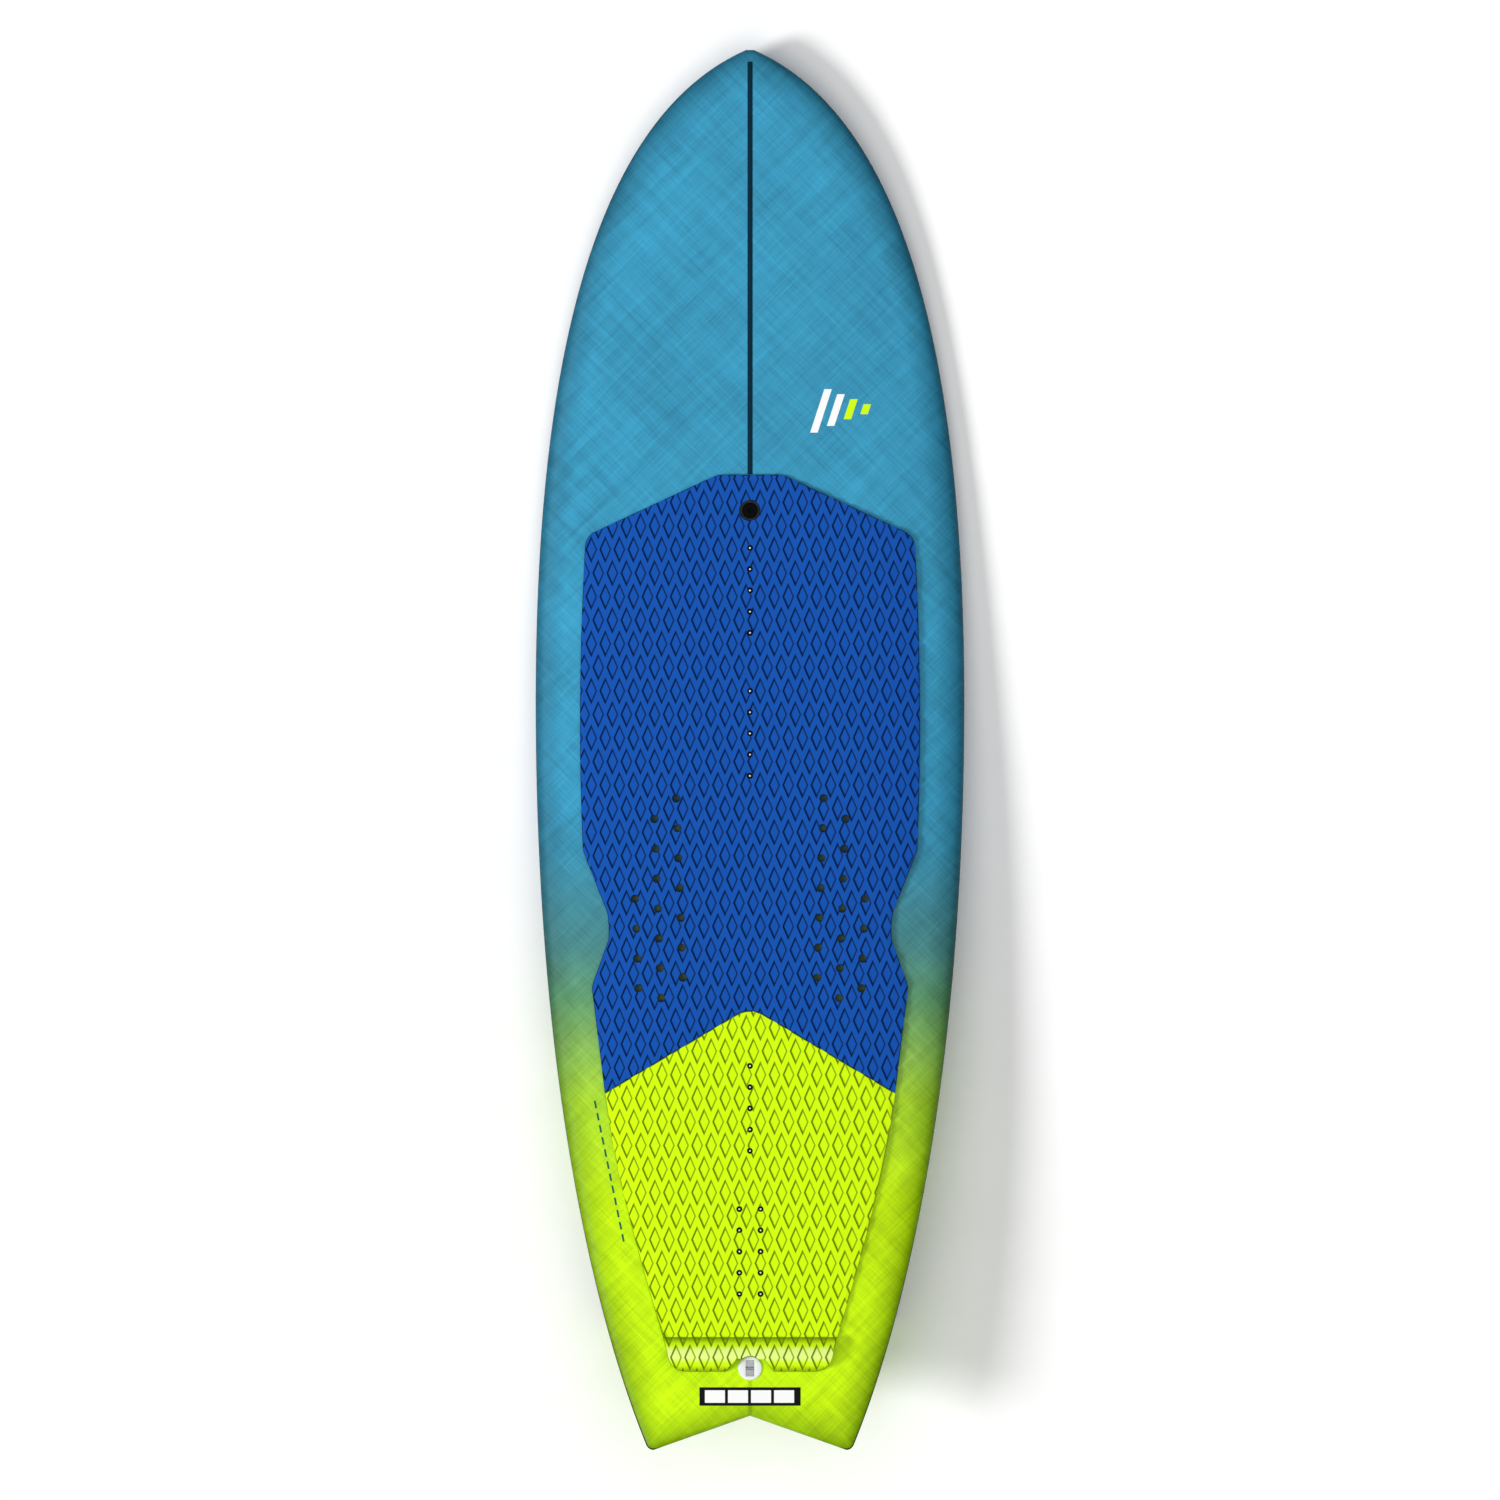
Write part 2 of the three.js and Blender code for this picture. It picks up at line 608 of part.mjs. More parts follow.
// ---- Fins, their boxes and grub screws -----------------------------------------------------------
// The blade is a foil lofted from root to tip; leading and trailing edges are curves in Y and Z.
const leadingEdge = new THREE.QuadraticBezierCurve(
  new THREE.Vector2(FIN_BASE / 2, 0),
  new THREE.Vector2(10, -80),
  new THREE.Vector2(-74, -FIN_DEPTH),
);
const trailingEdge = new THREE.QuadraticBezierCurve(
  new THREE.Vector2(-FIN_BASE / 2, 0),
  new THREE.Vector2(-44, -60),
  new THREE.Vector2(-92, -FIN_DEPTH + 1),
);
const FOIL = [[0, 0.1], [0.12, 0.75], [0.35, 1], [0.7, 0.6], [1, 0.12]];
const FIN_SPANS = [0, 0.2, 0.4, 0.6, 0.8, 0.93, 1];
const SCREW_SIDES = 10;

function finBlade(matrix) {
  const rings = FIN_SPANS.map((span) => {
    const lead = leadingEdge.getPoint(span);
    const trail = trailingEdge.getPoint(span);
    const half = BLADE_HALF * (1 - BLADE_TAPER * span);
    const point = ([share, fat], side) => [
      side * half * fat,
      THREE.MathUtils.lerp(lead.x, trail.x, share),
      THREE.MathUtils.lerp(lead.y, trail.y, share) - BLADE_GAP,
    ];
    const right = FOIL.map((entry) => point(entry, 1));
    const left = FOIL.map((entry) => point(entry, -1)).reverse();
    return [...right, ...left];
  });
  return loft(rings, [0, FOIL.length]).transform(matrix.elements);
}

function finSolid(fin) {
  const frame = finFrame(fin);
  const length = BOX_LENGTH - 2 * TAB_END_GAP;
  const tab = new THREE.BoxGeometry(2 * TAB_HALF, length, TAB_HEIGHT);
  tab.translate(0, 0, TAB_FOOT + TAB_HEIGHT / 2);
  return finBlade(frame).add(placed(tab, frame));
}

// A place in a fin's frame, such as one of its two screws.
const screwPlace = (fin, end) =>
  finFrame(fin).multiply(new THREE.Matrix4().makeTranslation(SCREW_SIDE, end * SCREW_REACH, 0));

function finBoxBlock(fin, grow, low, high) {
  const size = [2 * (BOX_HALF_WIDTH + grow), BOX_LENGTH + 2 * grow, high - low];
  return placed(new THREE.BoxGeometry(...size).translate(0, 0, (high + low) / 2), finFrame(fin));
}

function finBox(fin) {
  const slot = new THREE.BoxGeometry(2 * (TAB_HALF + FIT), SLOT_LENGTH, 2 * TAB_HEIGHT - 1);
  const bores = [-1, 1].map((end) => rod(SCREW_BORE_R, -5, 8, SCREW_SIDES, screwPlace(fin, end)));
  const block = finBoxBlock(fin, 0, 0, BOX_DEPTH);
  return cutAll(block, [placed(slot, finFrame(fin)), ...bores]);
}

function grubScrew(fin, end) {
  const body = rod(SCREW_R, ...SCREW_HEIGHT, SCREW_SIDES, screwPlace(fin, end));
  return body.subtract(rod(SCREW_HEX_R, -2, SCREW_HEX_TOP, 6, screwPlace(fin, end)));
}

// ---- Hull layers ---------------------------------------------------------------------------------
const CENTRE_CUTS = [ventBore(VENT_BARREL_R + FIT), leashBore(LEASH_BARREL_R + FIT)];
const BLOCK_CUTS = STRAP_GROUPS.map((group) => blockSpace(group, BLOCK_GAP));
const BOX_CUTS = FINS.map((fin) => finBoxBlock(fin, FIT, -20, BOX_DEPTH + FIT));

function deckSkin() {
  const holes = inserts.map((insert) => collarHole(insert, INSERT_COLLAR_R + FIT));
  const sheet = OUTSIDE.subtract(hull(SKIN, SKIN_END)).intersect(ABOVE);
  return cutAll(sheet, [...holes, ...CENTRE_CUTS]);
}

function bottomSkin() {
  const sheet = OUTSIDE.subtract(hull(SKIN, SKIN_END)).intersect(BELOW);
  return cutAll(sheet, BOX_CUTS);
}

function sandwichSheet(side, cutters) {
  const inside = hull(PVC_BASE, PVC_BASE_END);
  return cutAll(hull(PVC_TOP, PVC_END).subtract(inside).intersect(side), cutters);
}

function corePiece(low, high) {
  const slice = box([low, -FAR, -FAR], [high, FAR, FAR]);
  const piece = hull(CORE_DEPTH, CORE_END).intersect(slice);
  return cutAll(piece, [...CENTRE_CUTS, ...BLOCK_CUTS, ...BOX_CUTS]);
}

// The carbon strip along the middle of the bare deck, nose to pad.
function carbonStrip() {
  const [rear, front] = [PAD_FRONT_Y + 1, NOSE_Y - STRIP_NOSE_GAP];
  const strip = box([-STRIP_HALF, rear, -FAR], [STRIP_HALF, front, FAR]);
  return hull(-STRIP_TOP).subtract(hull(-FIT)).intersect(ABOVE).intersect(strip);
}

// ---- Assembly ------------------------------------------------------------------------------------
const board = new THREE.Group();

function add(name, shape, material) {
  const mesh = new THREE.Mesh(geometryOf(shape), MATERIALS[material].clone());
  mesh.name = name;
  board.add(mesh);
}

add("core_left", corePiece(-FAR, -STRINGER_HALF - FIT), "foam");
add("core_right", corePiece(STRINGER_HALF + FIT, FAR), "foam");
add("stringer", corePiece(-STRINGER_HALF, STRINGER_HALF), "wood");
add("deck_sandwich_sheet", sandwichSheet(ABOVE, [...CENTRE_CUTS, ...BLOCK_CUTS]), "pvc");
add("bottom_sandwich_sheet", sandwichSheet(BELOW, BOX_CUTS), "pvc");
add("deck_laminate", deckSkin(), "deck");
add("bottom_laminate", bottomSkin(), "bottom");
add("deck_carbon_strip", carbonStrip(), "carbon");
add("front_pad", frontPad(), "bluePad");
add("rear_pad", rearPad(), "limePad");
add("kick_wedge", kickWedge(), "denseFoam");
add("leash_cup", leashCup(), "whitePlastic");
add("leash_bar", leashBar(), "steel");
add("vent_housing", ventHousing(), "blackPlastic");
add("vent_cap", ventCap(), "blackPlastic");
add("vent_seal", ventSeal(), "rubber");
add("vent_membrane", ventMembrane(), "membrane");
for (const group of STRAP_GROUPS) add(group.name + "_insert_block", insertBlock(group), "denseFoam");
inserts.forEach((insert, i) => {
  const number = String(i + 1).padStart(2, "0");
  add("strap_insert_" + number, insertSolid(insert), "blackPlastic");
});
for (const fin of FINS) {
  add(fin.name + "_fin", finSolid(fin), "fin");
  add(fin.name + "_fin_box", finBox(fin), "blackPlastic");
  add(fin.name + "_fin_screw_front", grubScrew(fin, 1), "steel");
  add(fin.name + "_fin_screw_rear", grubScrew(fin, -1), "steel");
}

// Tip the board to its resting pose and put the origin under the middle of its box.
board.rotation.x = -REST_TILT;
board.updateMatrixWorld(true);
const extent = new THREE.Box3().setFromObject(board, true);
const middle = extent.getCenter(new THREE.Vector3());
board.position.set(-middle.x, -middle.y, -extent.min.z);

const kiteboard = new THREE.Group();
kiteboard.add(board);

export default kiteboard;
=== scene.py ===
import math

import bmesh
import bpy
import numpy as np
from mathutils import Matrix, Vector


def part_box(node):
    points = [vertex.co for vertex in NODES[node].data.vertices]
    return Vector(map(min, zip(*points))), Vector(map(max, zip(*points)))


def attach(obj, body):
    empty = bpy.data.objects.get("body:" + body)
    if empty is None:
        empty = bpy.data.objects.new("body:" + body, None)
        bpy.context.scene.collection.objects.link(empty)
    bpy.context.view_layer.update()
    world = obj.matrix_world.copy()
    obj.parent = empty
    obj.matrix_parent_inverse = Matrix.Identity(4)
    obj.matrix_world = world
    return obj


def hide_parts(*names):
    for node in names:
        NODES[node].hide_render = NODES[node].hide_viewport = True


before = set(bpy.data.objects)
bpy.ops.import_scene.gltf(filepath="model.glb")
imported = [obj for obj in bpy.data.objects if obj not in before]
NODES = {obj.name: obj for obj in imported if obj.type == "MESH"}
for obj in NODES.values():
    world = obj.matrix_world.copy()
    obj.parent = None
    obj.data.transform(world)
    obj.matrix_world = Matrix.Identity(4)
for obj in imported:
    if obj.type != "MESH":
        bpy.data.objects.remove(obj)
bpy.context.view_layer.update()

# ---- Driving dimensions, mm ----------------------------------------------------------------------
NOSE_CURVE = [(5, 838), (185.1, 757.9), (256.6, 469.6), (256.6, 57.2)]
TAIL_CURVE = [(256.6, 57.2), (256.6, -409.1), (179.9, -698.5), (121.7, -838)]
NOSE_Y = 838
TAIL_Y = -838
NOTCH_Y = -797
NOTCH_REACH = 88
FLAT_Y = -60
NOSE_ROCKER = 100
TAIL_ROCKER = 38
NOSE_BEND = 2.4  # power by which the rocker rises towards the nose
TAIL_BEND = 2.2
THICKEST_Y = 40
THICKNESS = 50
NOSE_THICKNESS = 14
TAIL_THICKNESS = 18
THINNING = 2.2  # power by which the board thins towards its ends
RAIL_SHARE = 0.38
END_ROUND = 7
END_LOSS = 0.85
TIP_ROUND = 6
DECK_POWER = 3.2
BOTTOM_POWER = 10
SKIN = 1
END_SOLID = 12

PAD_GAP = 0.4
PAD_TOP = 5.3
GROOVE = 2.0
PAD_FRONT_Y = 329.2
PAD_REAR_Y = -744.2
SEAM_END = (173.8, -411)
SEAM_PEAK_Y = -307.5
SEAM_ROUND = 17  # half width of the seam's rounded peak
SEAM_GAP = 0.5
DIAMOND_PERIOD = 16.85
DIAMOND_ROW = 28.2
DIAMOND_OUTER = (7.3, 16.8)
DIAMOND_INNER = (4.9, 11.3)
HOLE_R = 4.7
INSERT_HOLE_R = 3.35
HOLE_GAP = 0.4  # between a pad and the vent or leash plug
HOLE_STEP = (-1.32, -35.75)
HOLE_COLUMNS = [(88.3, -57.9, 7), (114.4, -82.5, 7), (137.5, -178.1, 4)]
KICK_Y = -723.6
KICK_HALF = 16.2
KICK_HEIGHT = 14

INSERT_PITCH = 25.4
INSERT_SIDES = 28
INSERT_ROWS = [(191.1, (0,)), (19.9, (0,)), (-429, (0,)), (-600.4, (-12.7, 12.7))]
VENT_Y = 287
VENT_R = 12.05
LEASH_Y = -740
LEASH_R = 14.2
LEASH_POCKET = (10.3, 19.7, 13)
LEASH_TOP = 2.4
BAR_DROP = 1.4

FIN_DEPTH = 112
FIN_BASE = 108
FINS = [
    ("centre", 0, -684, 0, 0),
    ("left", -158, -590, -5, -2.5),
    ("right", 158, -590, 5, 2.5),
]
REST_TILT = math.radians(5.84)
SCREW_SIDE = 6.6
SCREW_REACH = 24
MM = 0.001
VIEW_WIDTH = 1.7957  # metres across the picture
NEUTRAL = 0.5  # the kick tone of foam that isn't on the bar


# ---- Hull form -----------------------------------------------------------------------------------
def bezier(points, t):
    """Points of a quadratic or cubic curve at the shares t of its length parameter."""
    points = np.array(points, float)
    t = np.asarray(t, float)[:, None]
    while len(points.shape) == 2 or len(points) > 1:
        if len(points.shape) == 2:
            points = points[:, None, :] * np.ones((1, len(t), 1))
        points = points[:-1] * (1 - t) + points[1:] * t
    return points[0]


def tip_loss(y):
    """How much the round of the tail's two tips takes off the half width at a station."""
    inside = np.clip((y - TAIL_Y) / TIP_ROUND, 0, 1)
    return TIP_ROUND * (1 - np.sqrt(1 - (1 - inside) ** 2))


CURVE_SHARES = np.concatenate([np.linspace(0, 0.97, 460), np.linspace(0.97, 1, 60)[1:]])
OUTLINE = np.vstack([bezier(NOSE_CURVE, CURVE_SHARES), bezier(TAIL_CURVE, CURVE_SHARES)[1:]])
OUTLINE[:, 0] -= tip_loss(OUTLINE[:, 1])


def half_width(y):
    return np.interp(-np.asarray(y, float), -OUTLINE[:, 1], OUTLINE[:, 0])


def bottom_z(y):
    nose = np.clip((y - FLAT_Y) / (NOSE_Y - FLAT_Y), 0, None)
    tail = np.clip((FLAT_Y - y) / (FLAT_Y - TAIL_Y), 0, None)
    return NOSE_ROCKER * nose**NOSE_BEND + TAIL_ROCKER * tail**TAIL_BEND


def thickness(y):
    forward = np.clip((y - THICKEST_Y) / (NOSE_Y - THICKEST_Y), 0, None)
    aft = np.clip((THICKEST_Y - y) / (THICKEST_Y - TAIL_Y), 0, None)
    lost = (THICKNESS - NOSE_THICKNESS) * forward**THINNING
    return THICKNESS - (lost + (THICKNESS - TAIL_THICKNESS) * aft**THINNING)


def rail_z(y):
    return bottom_z(y) + RAIL_SHARE * thickness(y)


def crown(share, power):
    return np.sqrt(np.clip(1 - np.abs(share) ** power, 0, 1))


def end_round(y):
    inside = np.minimum(np.minimum(NOSE_Y - y, y - TAIL_Y), END_ROUND) / END_ROUND
    return np.sqrt(1 - END_LOSS * (1 - np.clip(inside, 0, 1)) ** 2)


def lean(y):
    """How far a station's middle is ahead of its rails, which makes the swallow tail."""
    return (NOTCH_Y - TAIL_Y) * np.clip((TAIL_Y + NOTCH_REACH - y) / NOTCH_REACH, 0, None)


def station_share(x, y):
    """The station that a plan point lies on, and its share of that station's half width."""
    station = np.array(y, float)
    for _ in range(12):
        share = np.clip(np.abs(x) / half_width(station), 0, 1)
        station = np.clip(y - lean(station) * (1 - share), TAIL_Y, NOSE_Y)
    return station, share


def deck_z(x, y):
    station, share = station_share(np.asarray(x, float), np.asarray(y, float))
    rise = (1 - RAIL_SHARE) * thickness(station) * end_round(station)
    return rail_z(station) + rise * crown(share, DECK_POWER)


def underside_z(x, y):
    station, share = station_share(np.asarray(x, float), np.asarray(y, float))
    drop = RAIL_SHARE * thickness(station) * end_round(station)
    return rail_z(station) - drop * crown(share, BOTTOM_POWER)


def rail_line():
    """The board's edge as a line in space: down the right rail, then in to the swallow tail's notch."""
    rail = np.vstack([OUTLINE[:-60:6], OUTLINE[-60::4], OUTLINE[-1:]])
    line = np.column_stack([rail, rail_z(rail[:, 1])])
    return np.vstack([line, (0, NOTCH_Y, rail_z(TAIL_Y))])


def rail_distance(points):
    """Distance in mm from each point to the board's edge."""
    line = rail_line()
    start, along = line[:-1], np.diff(line, axis=0)
    folded = np.column_stack([np.abs(points[:, 0]), points[:, 1:]])
    nearest = []
    for part in np.array_split(folded, 80):
        offset = part[:, None] - start
        share = np.clip((offset * along).sum(2) / (along**2).sum(1), 0, 1)
        nearest.append(np.linalg.norm(offset - share[..., None] * along, axis=2).min(1))
    return np.concatenate(nearest)


# ---- Frames --------------------------------------------------------------------------------------
def deck_frame(y):
    slope = math.atan2(float(deck_z(0, y + 1) - deck_z(0, y - 1)), 2)
    return Matrix.Translation((0, y, float(deck_z(0, y)))) @ Matrix.Rotation(slope, 4, "X")


def fin_frame(x, y, cant, toe):
    slope = math.atan2(float(underside_z(x, y + 30) - underside_z(x, y - 30)), 60)
    turn = (
        Matrix.Rotation(math.radians(toe), 4, "Z")
        @ Matrix.Rotation(slope, 4, "X")
        @ Matrix.Rotation(math.radians(-cant), 4, "Y")
    )
    return Matrix.Translation((x, y, float(underside_z(x, y)))) @ turn


def board_to_row():
    """The hull frame's place in the row frame, from the leash bar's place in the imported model."""
    turn = Matrix.Rotation(-REST_TILT, 4, "X")
    low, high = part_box("leash_bar")
    drawn = turn @ (deck_frame(LEASH_Y) @ Vector((0, 0, -BAR_DROP)))
    middle = Matrix.Translation((low + high) / 2)
    return middle @ Matrix.Translation(-drawn * MM) @ turn @ Matrix.Scale(MM, 4)


TO_ROW = board_to_row()


def transformed(points, matrix):
    m = np.array(matrix)
    return np.asarray(points, float) @ m[:3, :3].T + m[:3, 3]


# ---- Meshes --------------------------------------------------------------------------------------
def coordinates(mesh):
    flat = np.empty(len(mesh.vertices) * 3)
    mesh.vertices.foreach_get("co", flat)
    return flat.reshape(-1, 3)


def set_coordinates(mesh, points):
    mesh.vertices.foreach_set("co", np.asarray(points, np.float32).ravel())
    mesh.update()


def stamp(mesh, name, values):
    """Stores one number, or one vector, for each vertex, for the materials to read."""
    kind = "FLOAT_VECTOR" if np.ndim(values) == 2 else "FLOAT"
    layer = mesh.attributes.new(name, kind, "POINT")
    field = "vector" if kind == "FLOAT_VECTOR" else "value"
    layer.data.foreach_set(field, np.asarray(values, np.float32).ravel())


def moved(obj, matrix):
    set_coordinates(obj.data, transformed(coordinates(obj.data), matrix))
    return obj


def linked(name, data):
    """A new object that holds this data, put in the scene."""
    obj = bpy.data.objects.new(name, data)
    bpy.context.scene.collection.objects.link(obj)
    return obj


def raw_object(name, points, faces):
    """An object with its vertices in hull-frame mm, its doubles merged and its faces turned out."""
    mesh = bpy.data.meshes.new(name)
    mesh.from_pydata([tuple(map(float, p)) for p in points], [], faces)
    shape = bmesh.new()
    shape.from_mesh(mesh)
    bmesh.ops.remove_doubles(shape, verts=shape.verts, dist=1e-3)
    bmesh.ops.dissolve_degenerate(shape, edges=shape.edges, dist=1e-4)
    bmesh.ops.recalc_face_normals(shape, faces=shape.faces)
    shape.to_mesh(mesh)
    shape.free()
    return linked(name, mesh)


def discard(obj):
    bpy.data.objects.remove(obj)


def apply_modifiers(obj):
    bpy.context.view_layer.update()
    seen = obj.evaluated_get(bpy.context.evaluated_depsgraph_get())
    mesh = bpy.data.meshes.new_from_object(seen)
    obj.modifiers.clear()
    obj.data = mesh
    return obj


def boolean(obj, operation, cutter):
    cut = obj.modifiers.new("cut", "BOOLEAN")
    cut.operation = operation
    cut.solver = "EXACT"
    cut.object = cutter
    apply_modifiers(obj)
    discard(cutter)
    return obj


def bevelled(obj, width, segments=2, angle=30):
    bevel = obj.modifiers.new("bevel", "BEVEL")
    bevel.width = width
    bevel.segments = segments
    bevel.limit_method = "ANGLE"
    bevel.angle_limit = math.radians(angle)
    bevel.harden_normals = False
    return apply_modifiers(obj)


def finished(obj, materials, body="board", replaces=(), smooth_angle=35, matrix=None):
    """Puts a hull-frame object in the row frame, smooths it, gives it materials and a body to ride."""
    mesh = obj.data
    points = coordinates(mesh)
    if matrix is not None:
        points = transformed(points, matrix)
    if "plan" not in mesh.attributes:
        stamp(mesh, "plan", points)
    set_coordinates(mesh, transformed(points, TO_ROW))
    mesh.materials.clear()
    for material in materials:
        mesh.materials.append(material)
    mesh.shade_smooth()
    mesh.set_sharp_from_angle(angle=math.radians(smooth_angle))
    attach(obj, body)
    if replaces:
        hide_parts(*replaces)
    return obj


def grid_faces(rows, columns, wrap=False, start=0):
    faces = []
    for r in range(rows - 1 + wrap):
        for c in range(columns - 1):
            a = start + r * columns + c
            b = start + ((r + 1) % rows) * columns + c
            faces.append((a, a + 1, b + 1, b))
    return faces


def tube_faces(rings, sides, capped=False):
    """The faces between rings of points that follow each other, and the two end faces if capped."""
    faces = []
    for r in range(rings - 1):
        for k in range(sides):
            a, b = r * sides + k, r * sides + (k + 1) % sides
            faces.append((a, b, b + sides, a + sides))
    if capped:
        faces += [tuple(range(sides)), tuple(range((rings - 1) * sides, rings * sides))]
    return faces


def turned(name, profile, sides):
    """A solid of revolution about Z from an open profile of (radius, height) pairs, axis to axis."""
    angles = [2 * math.pi * k / sides for k in range(sides)]
    points = [(r * math.cos(a), r * math.sin(a), z) for r, z in profile for a in angles]
    return raw_object(name, points, tube_faces(len(profile), sides))


def ring_shape(name, profile, sides):
    """A ring about Z from a closed profile that keeps off the axis."""
    return turned(name, list(profile) + [profile[0]], sides)


def prism(name, sections):
    """A solid through outlines with equal numbers of points, each given with its height."""
    count = len(sections[0][0])
    points = [(x, y, z) for outline, z in sections for x, y in outline]
    *sides, low, high = tube_faces(len(sections), count, capped=True)
    return raw_object(name, points, [low[::-1], *sides, high])


def box(name, size, centre):
    half = [s / 2 for s in size]
    corners = [(-half[0], -half[1]), (half[0], -half[1]), (half[0], half[1]), (-half[0], half[1])]
    outline = [(x + centre[0], y + centre[1]) for x, y in corners]
    return prism(name, [(outline, centre[2] - half[2]), (outline, centre[2] + half[2])])


def joined(objects):
    """The first object, with the others' meshes added to it."""
    first = objects[0]
    shape = bmesh.new()
    for obj in objects:
        shape.from_mesh(obj.data)
    shape.to_mesh(first.data)
    shape.free()
    for obj in objects[1:]:
        discard(obj)
    return first


# ---- Material nodes ------------------------------------------------------------------------------
class Surface:
    """One procedural material: short calls that add nodes and link them."""

    def __init__(self, name, roughness=0.5, specular=0.5, metallic=0.0, coat=0.0):
        self.material = bpy.data.materials.new(name)
        self.material.use_nodes = True
        self.tree = self.material.node_tree
        self.shader = self.tree.nodes["Principled BSDF"]
        self.shader.inputs["Roughness"].default_value = roughness
        self.shader.inputs["Specular IOR Level"].default_value = specular
        self.shader.inputs["Metallic"].default_value = metallic
        self.shader.inputs["Coat Weight"].default_value = coat
        self.shader.inputs["Coat Roughness"].default_value = 0.12

    def add(self, kind, values=(), **settings):
        made = self.tree.nodes.new(kind)
        for key, value in settings.items():
            setattr(made, key, value)
        for key, value in dict(values).items():
            if isinstance(value, bpy.types.NodeSocket):
                self.tree.links.new(value, made.inputs[key])
            else:
                made.inputs[key].default_value = value
        return made

    def maths(self, operation, a, b=0.0):
        return self.add("ShaderNodeMath", {0: a, 1: b}, operation=operation).outputs[0]

    def plan(self):
        return self.add("ShaderNodeAttribute", attribute_name="plan").outputs["Vector"]

    def place(self):
        """Row-frame metres, turned to mm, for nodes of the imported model."""
        place = self.add("ShaderNodeTexCoord").outputs["Object"]
        return self.add("ShaderNodeVectorMath", {0: place, "Scale": 1 / MM}, operation="SCALE").outputs[0]

    def number(self, name):
        return self.add("ShaderNodeAttribute", attribute_name=name).outputs["Fac"]

    def part(self, vector, axis):
        return self.add("ShaderNodeSeparateXYZ", {0: vector}).outputs[axis]

    def mapped(self, vector, scale=(1, 1, 1), turn=(0, 0, 0)):
        values = {"Vector": vector, "Scale": scale, "Rotation": turn}
        return self.add("ShaderNodeMapping", values, vector_type="TEXTURE").outputs[0]

    def noise(self, vector, size, detail=2.0, roughness=0.5):
        values = {"Vector": vector, "Scale": 1 / size, "Detail": detail, "Roughness": roughness}
        return self.add("ShaderNodeTexNoise", values).outputs["Fac"]

    def cells(self, vector, size, feature="F1"):
        values = {"Vector": vector, "Scale": 1 / size}
        return self.add("ShaderNodeTexVoronoi", values, feature=feature).outputs["Distance"]

    def ramp(self, factor, stops):
        made = self.add("ShaderNodeValToRGB", {"Fac": factor})
        for _ in stops[2:]:
            made.color_ramp.elements.new(0.5)
        for element, (position, colour) in zip(made.color_ramp.elements, stops):
            element.position = position
            element.color = linear(colour)
        return made.outputs["Color"]

    def between(self, factor, low, high, to_low=0.0, to_high=1.0):
        values = {"Value": factor, "From Min": low, "From Max": high, "To Min": to_low, "To Max": to_high}
        return self.add("ShaderNodeMapRange", values, clamp=True).outputs[0]

    def mix(self, factor, a, b, blend="MIX"):
        made = self.add("ShaderNodeMix", {0: factor}, data_type="RGBA", blend_type=blend)
        for socket, value in ((made.inputs[6], a), (made.inputs[7], b)):
            if isinstance(value, bpy.types.NodeSocket):
                self.tree.links.new(value, socket)
            else:
                socket.default_value = linear(value)
        return made.outputs[2]

    def toned(self, colour, tone):
        """A colour times a number."""
        grey = self.add("ShaderNodeCombineColor", {0: tone, 1: tone, 2: tone}).outputs[0]
        return self.mix(1.0, colour, grey, "MULTIPLY")

    def colour(self, socket):
        self.tree.links.new(socket, self.shader.inputs["Base Color"])

    def rough(self, socket):
        self.tree.links.new(socket, self.shader.inputs["Roughness"])

    def bump(self, height, strength, distance=0.0002):
        values = {"Height": height, "Strength": strength, "Distance": distance}
        made = self.add("ShaderNodeBump", values)
        self.tree.links.new(made.outputs[0], self.shader.inputs["Normal"])


def linear(colour):
    """A linear RGBA colour from 0 to 255 display values."""
    shares = [c / 255 for c in colour[:3]]
    return tuple(c / 12.92 if c <= 0.04045 else ((c + 0.055) / 1.055) ** 2.4 for c in shares) + (1,)


# ---- Materials -----------------------------------------------------------------------------------
FADE = [
    (-120, (58, 145, 176)),
    (-239, (74, 136, 135)),
    (-299, (98, 157, 110)),
    (-359, (140, 191, 88)),
    (-419, (170, 218, 47)),
    (-539, (199, 244, 12)),
    (-658, (202, 248, 12)),
]


def paint_fade(s, plan):
    """The paint's colour along the board: blue to the waist, then through green to lime."""
    low, high = FADE[-1][0], FADE[0][0] + 60
    along = s.between(s.part(plan, 1), low, high)
    stops = [((y - low) / (high - low), colour) for y, colour in reversed(FADE)]
    stops.append((1, (58, 152, 189)))
    return s.ramp(along, stops)


def brushed(s, plan, turn, wide):
    """Streaks along one diagonal, this many mm wide: stretched noise."""
    lengthways = s.mapped(plan, scale=(1, 22, 8), turn=(0, 0, math.radians(turn)))
    shifted = s.add("ShaderNodeVectorMath", {0: lengthways, 1: (turn, turn, 0)}).outputs[0]
    return s.noise(shifted, wide, 3, 0.6)


